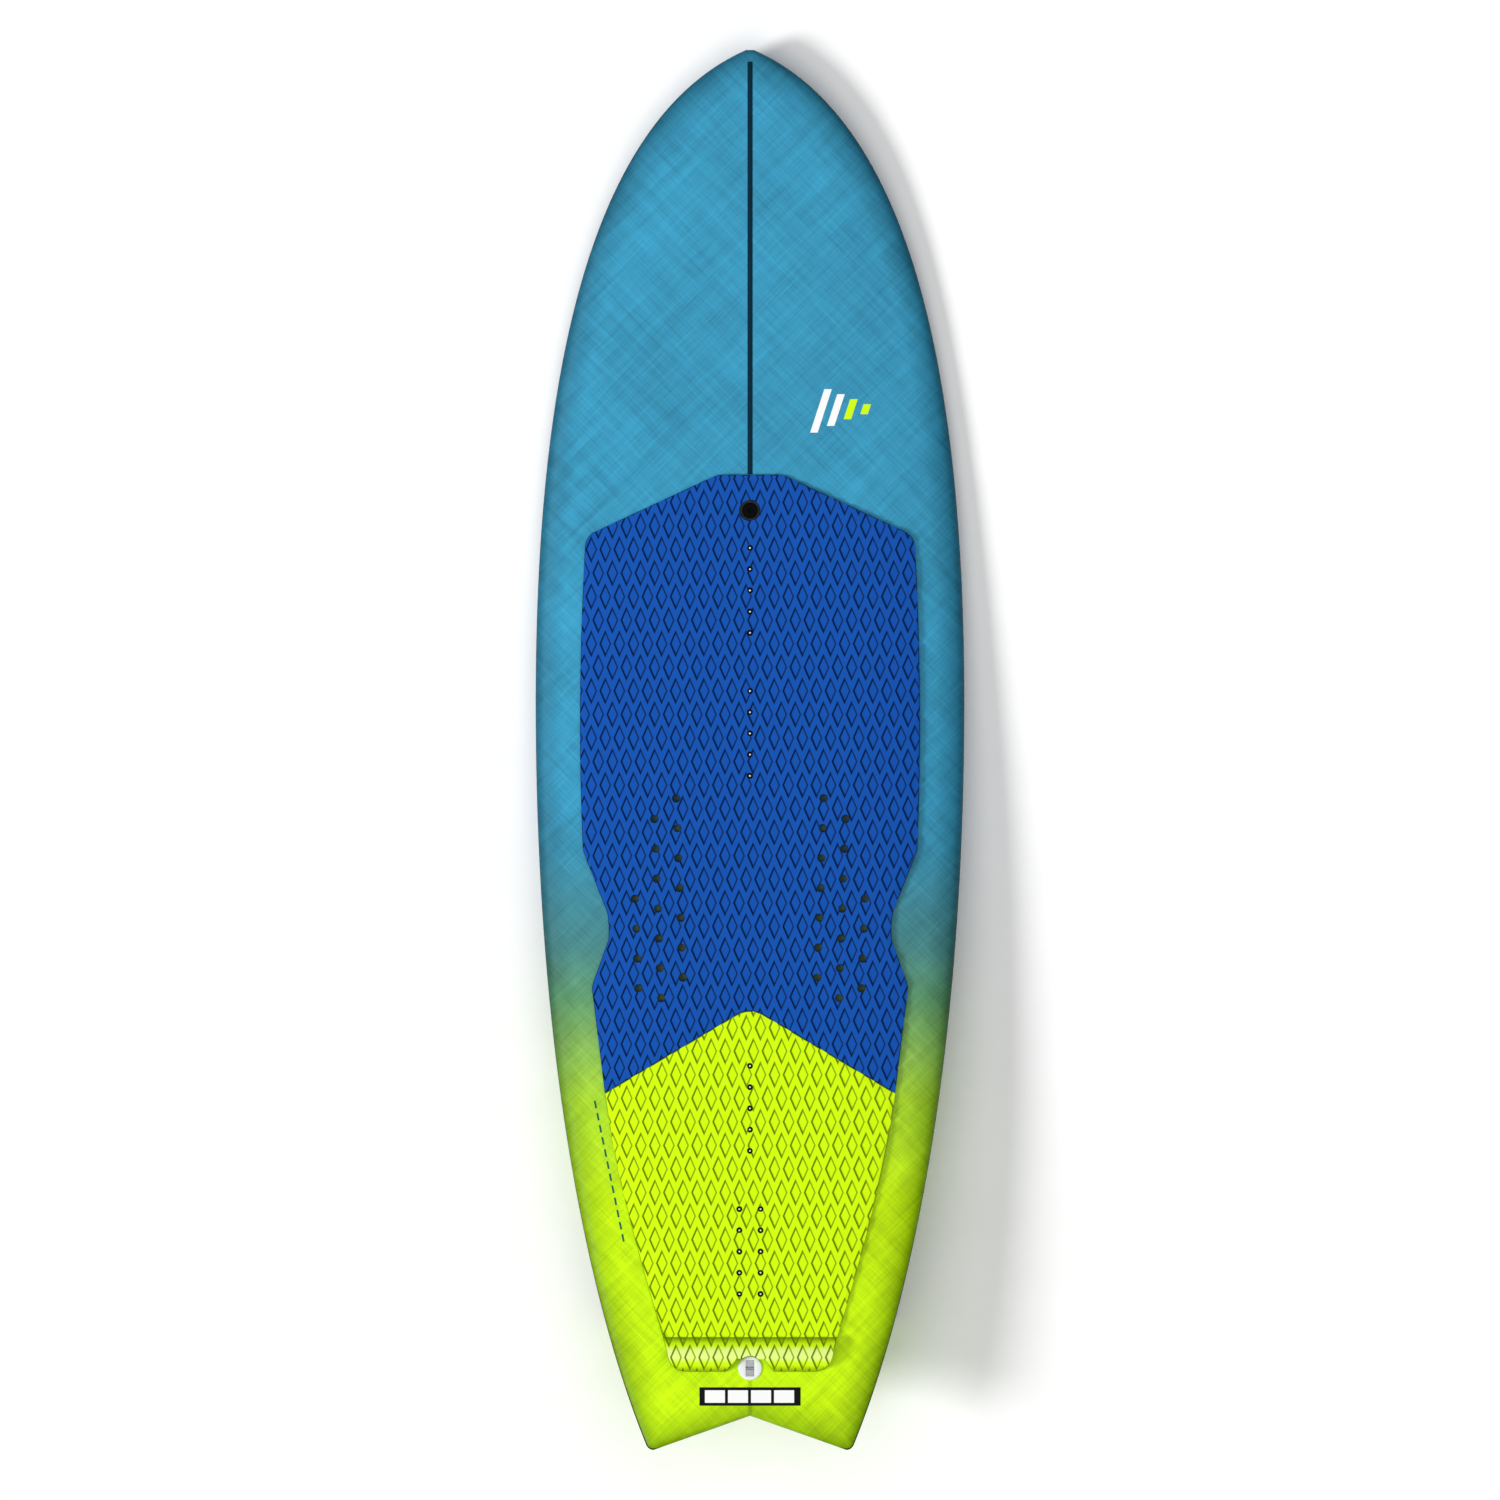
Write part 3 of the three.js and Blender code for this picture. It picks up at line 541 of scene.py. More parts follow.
def paint(name):
    """Sprayed paint over cross-brushed laminate, with painted shade darkening it towards the rails, and a
    black line at the edge.
    """
    s = Surface(name, roughness=0.4, specular=0.06)
    plan = s.plan()
    streaks = s.maths("ADD", brushed(s, plan, 45, 2.4), brushed(s, plan, -45, 2.4))
    swipes = s.maths("ADD", brushed(s, plan, 44, 9), brushed(s, plan, -46, 9))
    clouds = s.noise(s.mapped(plan, scale=(1, 1, 3)), 95, 3, 0.55)
    fine = s.between(streaks, 0.7, 1.3, -0.13, 0.13)
    tone = s.maths("ADD", fine, s.between(clouds, 0.3, 0.7, 0.86, 1.02))
    tone = s.maths("ADD", tone, s.between(swipes, 0.7, 1.3, -0.12, 0.12))
    weave = s.maths("MULTIPLY", s.maths("SINE", s.part(plan, 0)), s.maths("SINE", s.part(plan, 1)))
    tone = s.maths("ADD", tone, s.between(weave, -1, 1, -0.012, 0.012))
    base = s.toned(paint_fade(s, plan), tone)
    edge = s.number("rail")
    # Painted shade: the colour darkens over the last 38 mm to the rail, for the shade on the rounded rail.
    stops = [(0, (128, 142, 144)), (0.4, (208, 214, 214)), (1, (255, 255, 255))]
    shade = s.ramp(s.between(edge, 0, 38), stops)
    base = s.mix(1.0, base, shade, "MULTIPLY")
    base = s.mix(stringer_trace(s, plan), base, (96, 120, 30), "MULTIPLY")
    s.colour(s.mix(s.between(edge, 2.1, 2.6), (16, 22, 24), base))
    s.rough(s.between(streaks, 0.6, 1.4, 0.3, 0.4))
    s.bump(s.maths("ADD", streaks, weave), 0.25, 0.00005)
    return s.material


def stringer_trace(s, plan):
    """The stringer, faintly seen through the thin paint of the tail."""
    across = s.between(s.maths("ABSOLUTE", s.part(plan, 0)), 2.0, 3.2, 0.32, 0)
    aft = s.between(s.part(plan, 1), -760, -750, 1, 0)
    return s.maths("MULTIPLY", across, aft)


def eva(name, face, wall, rib, crest_highlight=None, crease_shade=None):
    """Cut closed-cell foam: fine cells, painted shade on the groove walls and the pad's sides, and painted
    highlight and painted shade on the kick bar.
    """
    s = Surface(name, roughness=0.85, specular=0.12)
    plan = s.plan()
    depth = s.number("depth")
    cut_top = s.between(depth, 0.01 * GROOVE, 0.06 * GROOVE)
    cut_floor = s.between(depth, 0.92 * GROOVE, 0.98 * GROOVE, 1, 0)
    # Painted shade: the groove walls take the darker wall colour.
    walls = s.maths("MULTIPLY", cut_top, cut_floor)
    grain = s.noise(plan, 0.55, 2, 0.6)
    pores = s.cells(plan, 0.9)
    mottle = s.noise(plan, 26, 3, 0.5)
    tone = s.maths("ADD", s.between(grain, 0.3, 0.7, 0.95, 1.04), s.between(mottle, 0.3, 0.7, -0.02, 0.02))
    skin = face
    if crest_highlight:
        # Painted highlight on top of the kick bar, fading to painted shade where the bar meets the flat pad.
        stops = [(0, crest_highlight), (0.2, crest_highlight), (NEUTRAL, face), (0.62, face), (1, crease_shade)]
        skin = s.ramp(s.number("kick"), stops)
    faces = s.toned(s.mix(s.between(pores, 0.0, 0.35, 0.35, 0), skin, rib), tone)
    # Painted shade: the pad's sides and hole walls below the grooves take the darker wall colour as well.
    sides = s.mix(s.between(depth, GROOVE + 0.1, GROOVE + 0.6), faces, wall)
    s.colour(s.mix(walls, sides, wall))
    s.rough(s.between(grain, 0.3, 0.7, 0.74, 0.88))
    s.bump(s.maths("ADD", grain, s.maths("MULTIPLY", pores, 0.6)), 0.35, 0.00012)
    return s.material


def moulded(name, colour, light, roughness=0.42, specular=0.4):
    """Injection-moulded plastic: a fine spark texture with a faint change of tone."""
    s = Surface(name, roughness=roughness, specular=specular)
    where = s.place()
    spark = s.noise(where, 0.35, 2, 0.7)
    clouds = s.noise(where, 9, 3, 0.5)
    s.colour(s.mix(s.between(clouds, 0.3, 0.7), colour, light))
    s.rough(s.between(spark, 0.3, 0.7, roughness - 0.06, roughness + 0.08))
    s.bump(spark, 0.18, 0.00006)
    return s.material


def steel(name):
    """Turned stainless steel with fine drawn lines."""
    s = Surface(name, roughness=0.3, metallic=1.0)
    where = s.place()
    lines = s.noise(s.mapped(where, scale=(14, 0.4, 0.4)), 0.8, 2, 0.6)
    s.colour(s.mix(s.between(lines, 0.3, 0.7), (128, 130, 134), (168, 170, 174)))
    s.rough(s.between(lines, 0.3, 0.7, 0.22, 0.4))
    s.bump(lines, 0.15, 0.00004)
    return s.material


def carbon(name, face=(0, 30, 46), thread=(2, 48, 68)):
    """Carbon laid in one direction under clear resin: long fine fibres and a faint cross thread."""
    s = Surface(name, roughness=0.45, specular=0.05)
    plan = s.plan()
    fibres = s.noise(s.mapped(plan, scale=(0.35, 60, 4)), 1.2, 3, 0.6)
    ticks = s.maths("SINE", s.maths("MULTIPLY", s.part(plan, 1), 0.9))
    s.colour(s.mix(s.between(fibres, 0.35, 0.7), face, thread))
    s.bump(s.maths("ADD", fibres, s.maths("MULTIPLY", ticks, 0.3)), 0.3, 0.00005)
    return s.material


def twill(name):
    """Fin composite: a dark two-by-two twill under a satin finish."""
    s = Surface(name, roughness=0.36, specular=0.25, coat=0.08)
    plan = s.plan()
    warp = s.maths("MULTIPLY", s.part(plan, 1), 1.3)
    weft = s.maths("MULTIPLY", s.part(plan, 2), 1.3)
    diagonal = s.maths("SINE", s.maths("ADD", warp, weft))
    threads = s.maths("MULTIPLY", s.maths("SINE", s.maths("MULTIPLY", warp, 2)), diagonal)
    clouds = s.noise(plan, 30, 3, 0.5)
    dark = s.mix(s.between(clouds, 0.3, 0.7), (8, 11, 14), (14, 18, 22))
    s.colour(s.mix(s.between(threads, -1, 1), dark, (32, 38, 44)))
    s.bump(threads, 0.2, 0.00005)
    return s.material


def foam_beads(name, face, dark, size):
    """Foam seen at a cut: packed beads or fine cells."""
    s = Surface(name, roughness=0.85, specular=0.25)
    where = s.place()
    beads = s.cells(where, size)
    edges = s.cells(where, size, "DISTANCE_TO_EDGE")
    s.colour(s.mix(s.between(edges, 0.0, 0.12), dark, face))
    s.bump(beads, 0.4, 0.0003)
    return s.material


def wood(name):
    """Stringer plywood: straight grain along the board."""
    s = Surface(name, roughness=0.6, specular=0.3)
    where = s.place()
    grain = s.noise(s.mapped(where, scale=(1.2, 70, 2.2)), 1.5, 4, 0.65)
    s.colour(s.mix(s.between(grain, 0.3, 0.7), (150, 108, 66), (204, 168, 116)))
    s.bump(grain, 0.25, 0.0001)
    return s.material


def rubber(name):
    s = Surface(name, roughness=0.65, specular=0.35)
    where = s.place()
    grain = s.noise(where, 0.3, 2, 0.6)
    s.colour(s.mix(s.between(grain, 0.3, 0.7), (16, 16, 17), (30, 30, 31)))
    s.bump(grain, 0.2, 0.00005)
    return s.material


def print_ink(name, colour, light):
    """Screen-printed ink: nearly flat, with a little speckle and a satin face."""
    s = Surface(name, roughness=0.5, specular=0.08)
    speckle = s.noise(s.plan(), 0.8, 2, 0.6)
    s.colour(s.mix(s.between(speckle, 0.35, 0.65), colour, light))
    s.bump(speckle, 0.1, 0.00003)
    return s.material


def hole_shade(name):
    """Painted shade for the pads' round holes: a dark film on the deck where the holes show it, teal
    forward, green aft.
    """
    s = Surface(name, roughness=0.7, specular=0.25)
    plan = s.plan()
    along = s.between(s.part(plan, 1), -330, -60)
    grain = s.noise(plan, 0.8, 2, 0.6)
    # Painted shade: the deck's fade from teal to green, darkened as it would look in the holes' shade.
    base = s.mix(along, (44, 60, 30), (20, 50, 56))
    s.colour(s.mix(s.between(grain, 0.3, 0.7, 0, 0.25), base, (60, 80, 70)))
    s.bump(grain, 0.3, 0.0001)
    return s.material


PAINT = paint("board_paint")
# Each foam's second colour is painted shade for its groove walls and sides.
BLUE_EVA = eva("blue_eva", (14, 82, 175), (3, 38, 92), (12, 68, 152))
# The lime foam's last two colours are the kick bar's painted highlight and painted shade.
LIME_EVA = eva("lime_eva", (213, 254, 8), (130, 162, 4), (188, 230, 6), (232, 252, 140), (146, 176, 12))
BLACK = moulded("black_moulding", (3, 3, 4), (7, 7, 8), 0.55, 0.04)
DARK_GREY = moulded("dark_grey_moulding", (38, 37, 35), (48, 46, 44), 0.6, 0.06)
WHITE = moulded("white_moulding", (232, 233, 236), (240, 241, 243), 0.36, 0.3)
STEEL = steel("drawn_steel")
CARBON = carbon("unidirectional_carbon")
TWILL = twill("fin_twill")
CORE_FOAM = foam_beads("bead_foam", (244, 244, 240), (214, 214, 208), 3.2)
SHEET_FOAM = foam_beads("sheet_foam", (218, 208, 156), (186, 176, 124), 0.7)
DENSE_FOAM = foam_beads("dense_foam", (224, 178, 116), (190, 140, 82), 0.9)
KICK_FOAM = foam_beads("kick_foam", (158, 190, 12), (128, 158, 8), 0.8)
WOOD = wood("stringer_plywood")
RUBBER = rubber("seal_rubber")
MEMBRANE = moulded("membrane_felt", (214, 222, 226), (230, 236, 240), 0.75)
WHITE_INK = print_ink("white_ink", (246, 247, 248), (252, 253, 253))
LIME_INK = print_ink("lime_ink", (206, 250, 10), (214, 255, 24))
BLACK_INK = print_ink("black_ink", (6, 7, 8), (12, 13, 14))
GREEN_INK = print_ink("green_ink", (14, 92, 70), (22, 108, 80))
HOLE_SHADE = hole_shade("pad_hole_shade")


# ---- Hull shells ---------------------------------------------------------------------------------
def ring_shares():
    """Places of the cross-sections along each outline curve, close together at the board's ends."""
    return np.linspace(0, 1, 84) ** 1.6


def rail_points(inset, end_gap):
    """The rail's edge from nose to tail, moved in by an inset and kept off the two ends."""
    points = []
    for curve, flip in ((NOSE_CURVE, False), (TAIL_CURVE, True)):
        shares = 1 - ring_shares()[::-1] if flip else ring_shares()
        line = bezier(curve, shares)
        slope = np.gradient(line, axis=0)
        slope /= np.linalg.norm(slope, axis=1)[:, None]
        moved = line + inset * np.stack([slope[:, 1], -slope[:, 0]], 1)
        points.append(moved if not flip else moved[1:])
    points = np.vstack(points)
    points[:, 0] -= tip_loss(points[:, 1])
    points[:, 1] = np.clip(points[:, 1], TAIL_Y + end_gap, NOSE_Y - end_gap)
    return points


def section_shares(power):
    """Shares of the half width, close together where the section turns down to the rail."""
    inner = np.linspace(0, 0.55, 9)
    start = math.asin(0.55 ** (power / 2))
    outer = np.sin(np.linspace(start, math.pi / 2, 34)[1:]) ** (2 / power)
    half = np.concatenate([inner, outer])
    return np.concatenate([-half[:0:-1], half])


def section_rows(inset, end_gap, deck):
    """Rows of points over the deck or the bottom, one row per cross-section."""
    shares = section_shares(DECK_POWER if deck else BOTTOM_POWER)
    rows = []
    for width, y in rail_points(inset, end_gap):
        height = thickness(y) * end_round(y)
        up = max(0.4, (1 - RAIL_SHARE) * height - inset)
        down = max(0.4, RAIL_SHARE * height - inset)
        rise = up * crown(shares, DECK_POWER) if deck else -down * crown(shares, BOTTOM_POWER)
        along = y + lean(y) * (1 - np.abs(shares))
        rows.append(np.stack([shares * width, along, rail_z(y) + rise], 1))
    return rows


def flattened(row):
    """A row brought down to the rail's height: the blunt edge at the board's ends."""
    flat = row.copy()
    flat[:, 2] = row[0, 2]
    return flat


def hull_shell(name, deck):
    """One laminate skin: its outer face, its inner face, and the edges between them."""
    outer = section_rows(0, 0, deck)
    inner = section_rows(SKIN, END_SOLID, deck)
    loop = (
        [flattened(inner[0]), flattened(outer[0])]
        + outer
        + [flattened(outer[-1]), flattened(inner[-1])]
        + inner[::-1]
    )
    columns = len(outer[0])
    faces = grid_faces(len(loop), columns, wrap=True)
    count = len(outer)
    for side in (0, columns - 1):
        for k in range(count - 1):
            a = (2 + k) * columns + side
            b = (3 + k) * columns + side
            c = (2 + count + 2 + count - 2 - k) * columns + side
            d = (2 + count + 2 + count - 1 - k) * columns + side
            faces.append((a, b, c, d) if side else (a, d, c, b))
    return raw_object(name, np.vstack(loop), faces)


def upright_rod(name, radius, low, high, matrix, sides=48):
    rod = turned(name, [(0, low), (radius, low), (radius, high), (0, high)], sides)
    return moved(rod, matrix)


def painted_hull():
    deck = hull_shell("deck_shell", True)
    boolean(deck, "DIFFERENCE", upright_rod("vent_bore", 10.2, -30, 20, deck_frame(VENT_Y)))
    boolean(deck, "DIFFERENCE", upright_rod("leash_bore", 12.8, -30, 20, deck_frame(LEASH_Y)))
    base = hull_shell("bottom_shell", False)
    for name, x, y, cant, toe in FINS:
        cutter = moved(box("fin_box_space", (20.4, 76.4, 60), (0, 0, 0)), fin_frame(x, y, cant, toe))
        boolean(base, "DIFFERENCE", cutter)
    for shell, side in ((deck, "deck"), (base, "bottom")):
        stamp(shell.data, "rail", rail_distance(coordinates(shell.data)))
        finished(shell, [PAINT], replaces=[f"{side}_laminate"], smooth_angle=50)


# ---- Pads ----------------------------------------------------------------------------------------
def path(start, *moves):
    """A plan line through straight, quadratic and cubic moves, given by their control points."""
    points = [start]
    for move in moves:
        steps = 1 if len(move) == 1 else 9
        controls = [points[-1], *move]
        points += [tuple(p) for p in bezier(controls, np.linspace(0, 1, steps + 1))[1:]]
    return points


def both_sides(right, middle):
    """A closed outline from its right half, which ends beside a point on the centre line."""
    return right + [middle] + [(-x, y) for x, y in right[::-1]]


def seam_line(shift):
    """The chevron seam's right half, from its rounded peak to the pads' edge."""
    slope = (SEAM_PEAK_Y - SEAM_END[1]) / SEAM_END[0]
    rise = SEAM_ROUND * slope
    arc = bezier([(-SEAM_ROUND, 0), (0, rise), (SEAM_ROUND, 0)], np.linspace(0.5, 1, 8))
    arc[:, 1] += SEAM_PEAK_Y - rise + shift
    return [tuple(p) for p in arc] + [(SEAM_END[0], SEAM_END[1] + shift)]


def front_outline():
    side = path(
        (34, PAD_FRONT_Y),
        [(40, PAD_FRONT_Y), (47, 325.8)],
        [(185, 261.6)],
        [(197, 256), (197.6, 242)],
        [(203, 140), (206.5, 20), (200, -121)],
        [(171, -194)],
        [(168, -210), (169.6, -228)],
        [(188, -279)],
        [(189.8, -285), (188.4, -292)],
    )
    seam = seam_line(SEAM_GAP / 2)
    return both_sides(side + seam[:0:-1], seam[0])


def rear_outline():
    side = path(
        (SEAM_END[0], SEAM_END[1] - SEAM_GAP / 2),
        [(161, -505), (138, -590), (104, -704)],
        [(99.5, -722)],
        [(96, PAD_REAR_Y), (76, PAD_REAR_Y)],
        [(28.6, PAD_REAR_Y)],
        [(16.4, -729.4)],
    )
    seam = seam_line(-SEAM_GAP / 2)
    return both_sides(side[::-1] + seam[-2:0:-1], seam[0])


def offset_inwards(outline, distance):
    """A closed outline moved in along its corner normals."""
    points = np.array(outline)
    ahead = np.roll(points, -1, 0) - points
    area = (points[:, 0] * np.roll(points[:, 1], -1) - np.roll(points[:, 0], -1) * points[:, 1]).sum()
    ahead /= np.linalg.norm(ahead, axis=1)[:, None]
    normal = np.stack([-ahead[:, 1], ahead[:, 0]], 1) * np.sign(area)
    before = np.roll(normal, 1, 0)
    corner = (normal + before) / (1 + (normal * before).sum(1))[:, None].clip(0.5)
    return [tuple(p) for p in points + distance * corner]


# Where the half-round kick bar's face meets the flat pad.
KICK_CREASE = (KICK_HALF + PAD_TOP) * math.sqrt(1 - (PAD_TOP / (KICK_HEIGHT + PAD_TOP)) ** 2)
GROOVE_STEPS = [(0, 0), (0.16, 0.1), (0.84, 0.9), (1, 1)]  # shares of the wall's width and depth
CORNERS = [(1, 0), (0, 1), (-1, 0), (0, -1)]  # right, top, left, bottom


def diamond_mesh(centres):
    """Vertices of every diamond's corner rings, keyed by row, column, ring and corner."""
    index, points = {}, []
    for key, (cx, cy) in centres.items():
        for ring, (inward, down) in enumerate(GROOVE_STEPS):
            half = [o + (i - o) * inward for o, i in zip(DIAMOND_OUTER, DIAMOND_INNER)]
            for corner, (ux, uy) in enumerate(CORNERS):
                index[key, ring, corner] = len(points)
                points.append((cx + ux * half[0], cy + uy * half[1], -GROOVE * down))
    return index, points


def land_faces(key, index):
    """The flat foam between a diamond and its neighbours, as far as they exist."""
    row, column = key
    odd = row % 2
    up_right, up_left = (row + 1, column + odd), (row + 1, column + odd - 1)
    down_right, right = (row - 1, column + odd), (row, column + 1)
    faces = [
        [(key, 0), (down_right, 1), (right, 2), (up_right, 3)],
        [(key, 0), (up_right, 3), (up_right, 2), (key, 1)],
        [(key, 1), (up_left, 0), (up_left, 3), (key, 2)],
    ]
    made = []
    for face in faces:
        corners = [index.get((diamond, 0, corner)) for diamond, corner in face]
        if None not in corners:
            made.append(tuple(corners))
    return made


def diamond_slab(name, phase, first_row, low, high):
    """A flat foam sheet with diamond recesses, wider than the pad, its top at zero height."""
    lowest = math.floor((low - first_row) / DIAMOND_ROW) - 1
    rows = range(lowest, math.ceil((high - first_row) / DIAMOND_ROW) + 2)
    columns = range(-14, 15)
    centres = {
        (j, i): (phase + (i + 0.5 * (j % 2)) * DIAMOND_PERIOD, first_row + j * DIAMOND_ROW)
        for j in rows
        for i in columns
    }
    index, points = diamond_mesh(centres)
    faces = []
    for key in centres:
        faces += land_faces(key, index)
        for ring in range(len(GROOVE_STEPS) - 1):
            for corner in range(4):
                following = (corner + 1) % 4
                a, b = index[key, ring, corner], index[key, ring, following]
                faces.append((a, b, index[key, ring + 1, following], index[key, ring + 1, corner]))
        faces.append(tuple(index[key, len(GROOVE_STEPS) - 1, corner] for corner in range(4)))
    return closed_slab(name, points, faces, index, centres)


def closed_slab(name, points, faces, index, centres):
    """Closes a grooved sheet with a plain underside and a side wall round its border."""
    depth = -(PAD_TOP - PAD_GAP)
    lands = [face for key in centres for face in land_faces(key, index)]
    plain = lands + [tuple(index[key, 0, corner] for corner in range(4)) for key in centres]
    shift = len(points)
    under = points + [(x, y, depth) for x, y, _ in points]
    faces = faces + [tuple(v + shift for v in reversed(face)) for face in plain]
    edges = {}
    for face in plain:
        for a, b in zip(face, face[1:] + face[:1]):
            edges[a, b] = True
    border = [(a, b) for a, b in edges if (b, a) not in edges]
    faces += [(b, a, a + shift, b + shift) for a, b in border]
    slab = raw_object(name, under, faces)
    loose = bmesh.new()
    loose.from_mesh(slab.data)
    bmesh.ops.delete(loose, geom=[v for v in loose.verts if not v.link_faces], context="VERTS")
    loose.to_mesh(slab.data)
    loose.free()
    return slab


def cut_across(obj, stations):
    """Adds edges across a mesh at the given Y stations, so that it can bend there."""
    shape = bmesh.new()
    shape.from_mesh(obj.data)
    for y in stations:
        geometry = shape.verts[:] + shape.edges[:] + shape.faces[:]
        bmesh.ops.bisect_plane(shape, geom=geometry, dist=1e-5, plane_co=(0, y, 0), plane_no=(0, 1, 0))
    shape.to_mesh(obj.data)
    shape.free()


def edge_cutter(outline):
    """The pad's plan as a solid: upright walls, then a small round to the top face."""
    sections = [(-9, 0), (-1.0, 0), (-0.5, 0.15), (-0.16, 0.5), (0.0, 1.0), (5, 1.0)]
    moved = [(offset_inwards(outline, inset) if inset else outline, z) for z, inset in sections]
    return prism("pad_plan", moved)


def hole_cutter(places):
    """Round holes through a pad, each (x, y, radius), opened out a little at the top."""
    rods = []
    for x, y, radius in places:
        profile = [(0, -9), (radius, -9), (radius, -0.5), (radius + 0.5, 0), (radius + 0.5, 5), (0, 5)]
        rod = turned("pad_hole", profile, 32)
        set_coordinates(rod.data, coordinates(rod.data) + (x, y, 0))
        rods.append(rod)
    return joined(rods)


def kick_rise(y, offset):
    """Height of the kick bar's half-round face over the deck, for a layer this far off the wedge."""
    reach = KICK_HALF + offset
    inside = np.clip(1 - ((y - KICK_Y) / reach) ** 2, 0, 1)
    return (KICK_HEIGHT + offset) * np.sqrt(inside)


def draped(obj, kick):
    """Lays a flat pad on the deck, and over the kick bar, and keeps each point's depth for the material."""
    flat = coordinates(obj.data)
    x, y, depth = flat.T
    offset = PAD_TOP + depth
    rise = np.maximum(offset, kick_rise(y, offset)) if kick else offset
    from_crest = np.abs(y - KICK_Y) / KICK_CREASE
    stamp(obj.data, "depth", -depth)
    # The kick share picks the kick bar's painted highlight and painted shade in the foam's colour.
    stamp(obj.data, "kick", np.where(from_crest < 1.001, from_crest, NEUTRAL))
    set_coordinates(obj.data, np.stack([x, y, deck_z(x, y) + rise], 1))


def insert_places():
    return [
        (x, y + (i - 2) * INSERT_PITCH)
        for y, rows in INSERT_ROWS
        for x in rows
        for i in range(5)
    ]


def perforation_places():
    return [
        (side * (x + i * HOLE_STEP[0]), y + i * HOLE_STEP[1])
        for x, y, count in HOLE_COLUMNS
        for side in (-1, 1)
        for i in range(count)
    ]


def front_pad():
    slab = diamond_slab("front_deck_pad", 3.73, -13.8, -411, PAD_FRONT_Y)
    boolean(slab, "INTERSECT", edge_cutter(front_outline()))
    holes = [(x, y, HOLE_R) for x, y in perforation_places()]
    holes += [(x, y, INSERT_HOLE_R) for x, y in insert_places() if y > SEAM_PEAK_Y]
    holes.append((0, VENT_Y, VENT_R + HOLE_GAP))
    boolean(slab, "DIFFERENCE", hole_cutter(holes))
    draped(slab, kick=False)
    finished(slab, [BLUE_EVA], replaces=["front_pad"], smooth_angle=24)


def rear_pad():
    slab = diamond_slab("rear_deck_pad", 4.09, -22.2, PAD_REAR_Y, SEAM_PEAK_Y)
    reach = KICK_HALF + PAD_TOP
    bends = [KICK_Y + reach * math.cos(math.pi * k / 28) for k in range(1, 28)]
    creases = [KICK_Y + side * (KICK_CREASE + gap) for side in (-1, 1) for gap in (0, 0.25)]
    cut_across(slab, bends + creases)
    boolean(slab, "INTERSECT", edge_cutter(rear_outline()))
    holes = [(x, y, INSERT_HOLE_R) for x, y in insert_places() if y < SEAM_PEAK_Y]
    holes.append((0, LEASH_Y, LEASH_R + HOLE_GAP))
    boolean(slab, "DIFFERENCE", hole_cutter(holes))
    draped(slab, kick=True)
    finished(slab, [LIME_EVA], replaces=["rear_pad"], smooth_angle=24)


def hole_shade_dots():
    """Dark discs on the deck under the pads' round holes, as painted shade for the hole floors."""
    dots = []
    for x, y in perforation_places():
        dot = turned("dot", [(0, 0.1), (5.6, 0.1), (5.6, 0.36), (0, 0.36)], 24)
        points = coordinates(dot.data) + (x, y, 0)
        points[:, 2] += deck_z(points[:, 0], points[:, 1])
        set_coordinates(dot.data, points)
        dots.append(dot)
    film = joined(dots)
    film.name = "pad_hole_shade_discs"
    finished(film, [HOLE_SHADE])


# ---- Centre line hardware ------------------------------------------------------------------------
def carbon_strip():
    stations = np.linspace(PAD_FRONT_Y + 1, NOSE_Y - 14, 90)
    across = [(-3, 0.15), (-3, 0.42), (-2.5, 0.6), (0, 0.62), (2.5, 0.6), (3, 0.42), (3, 0.15), (0, 0.15)]
    points = [(x, y, float(deck_z(x, y)) + z) for y in stations for x, z in across]
    faces = tube_faces(len(stations), len(across), capped=True)
    strip = raw_object("stringer_strip", points, faces)
    finished(strip, [CARBON], replaces=["deck_carbon_strip"])


def strap_inserts():
    """Each threaded insert's black collar, and the plug that keeps sand out of its thread."""
    collar = [(2.5, -12), (2.5, 1.0), (2.7, 1.2), (3.05, 1.2), (3.2, 1.05), (3.2, -2.1), (6, -2.1), (6, -12)]
    flange = [(0, 0.2), (2.35, 0.2), (2.35, 1.35), (3.1, 1.35), (3.2, 1.6), (3.15, 2.7), (2.8, 3.0)]
    flange += [(1.6, 3.0), (1.25, 2.8), (1.2, 2.2), (0, 2.2)]
    core = [(0, 2.2), (1.15, 2.2), (1.2, 2.7), (1.05, 3.05), (0.75, 3.3), (0.4, 3.4), (0, 3.42)]
    for number, (x, y) in enumerate(insert_places(), 1):
        where = Matrix.Translation((x, y, float(deck_z(x, y))))
        node = f"strap_insert_{number:02d}"
        ring = ring_shape(f"{node}_collar", collar, INSERT_SIDES)
        finished(ring, [BLACK], replaces=[node], matrix=where)
        plug = turned(f"{node}_plug", flange, INSERT_SIDES)
        plug = joined([plug, turned("plug_core", core, INSERT_SIDES)])
        white_from = len(plug.data.polygons) - INSERT_SIDES * (len(core) - 1)
        finished(plug, [BLACK, WHITE], matrix=where)
        for face in plug.data.polygons[white_from:]:
            face.material_index = 1


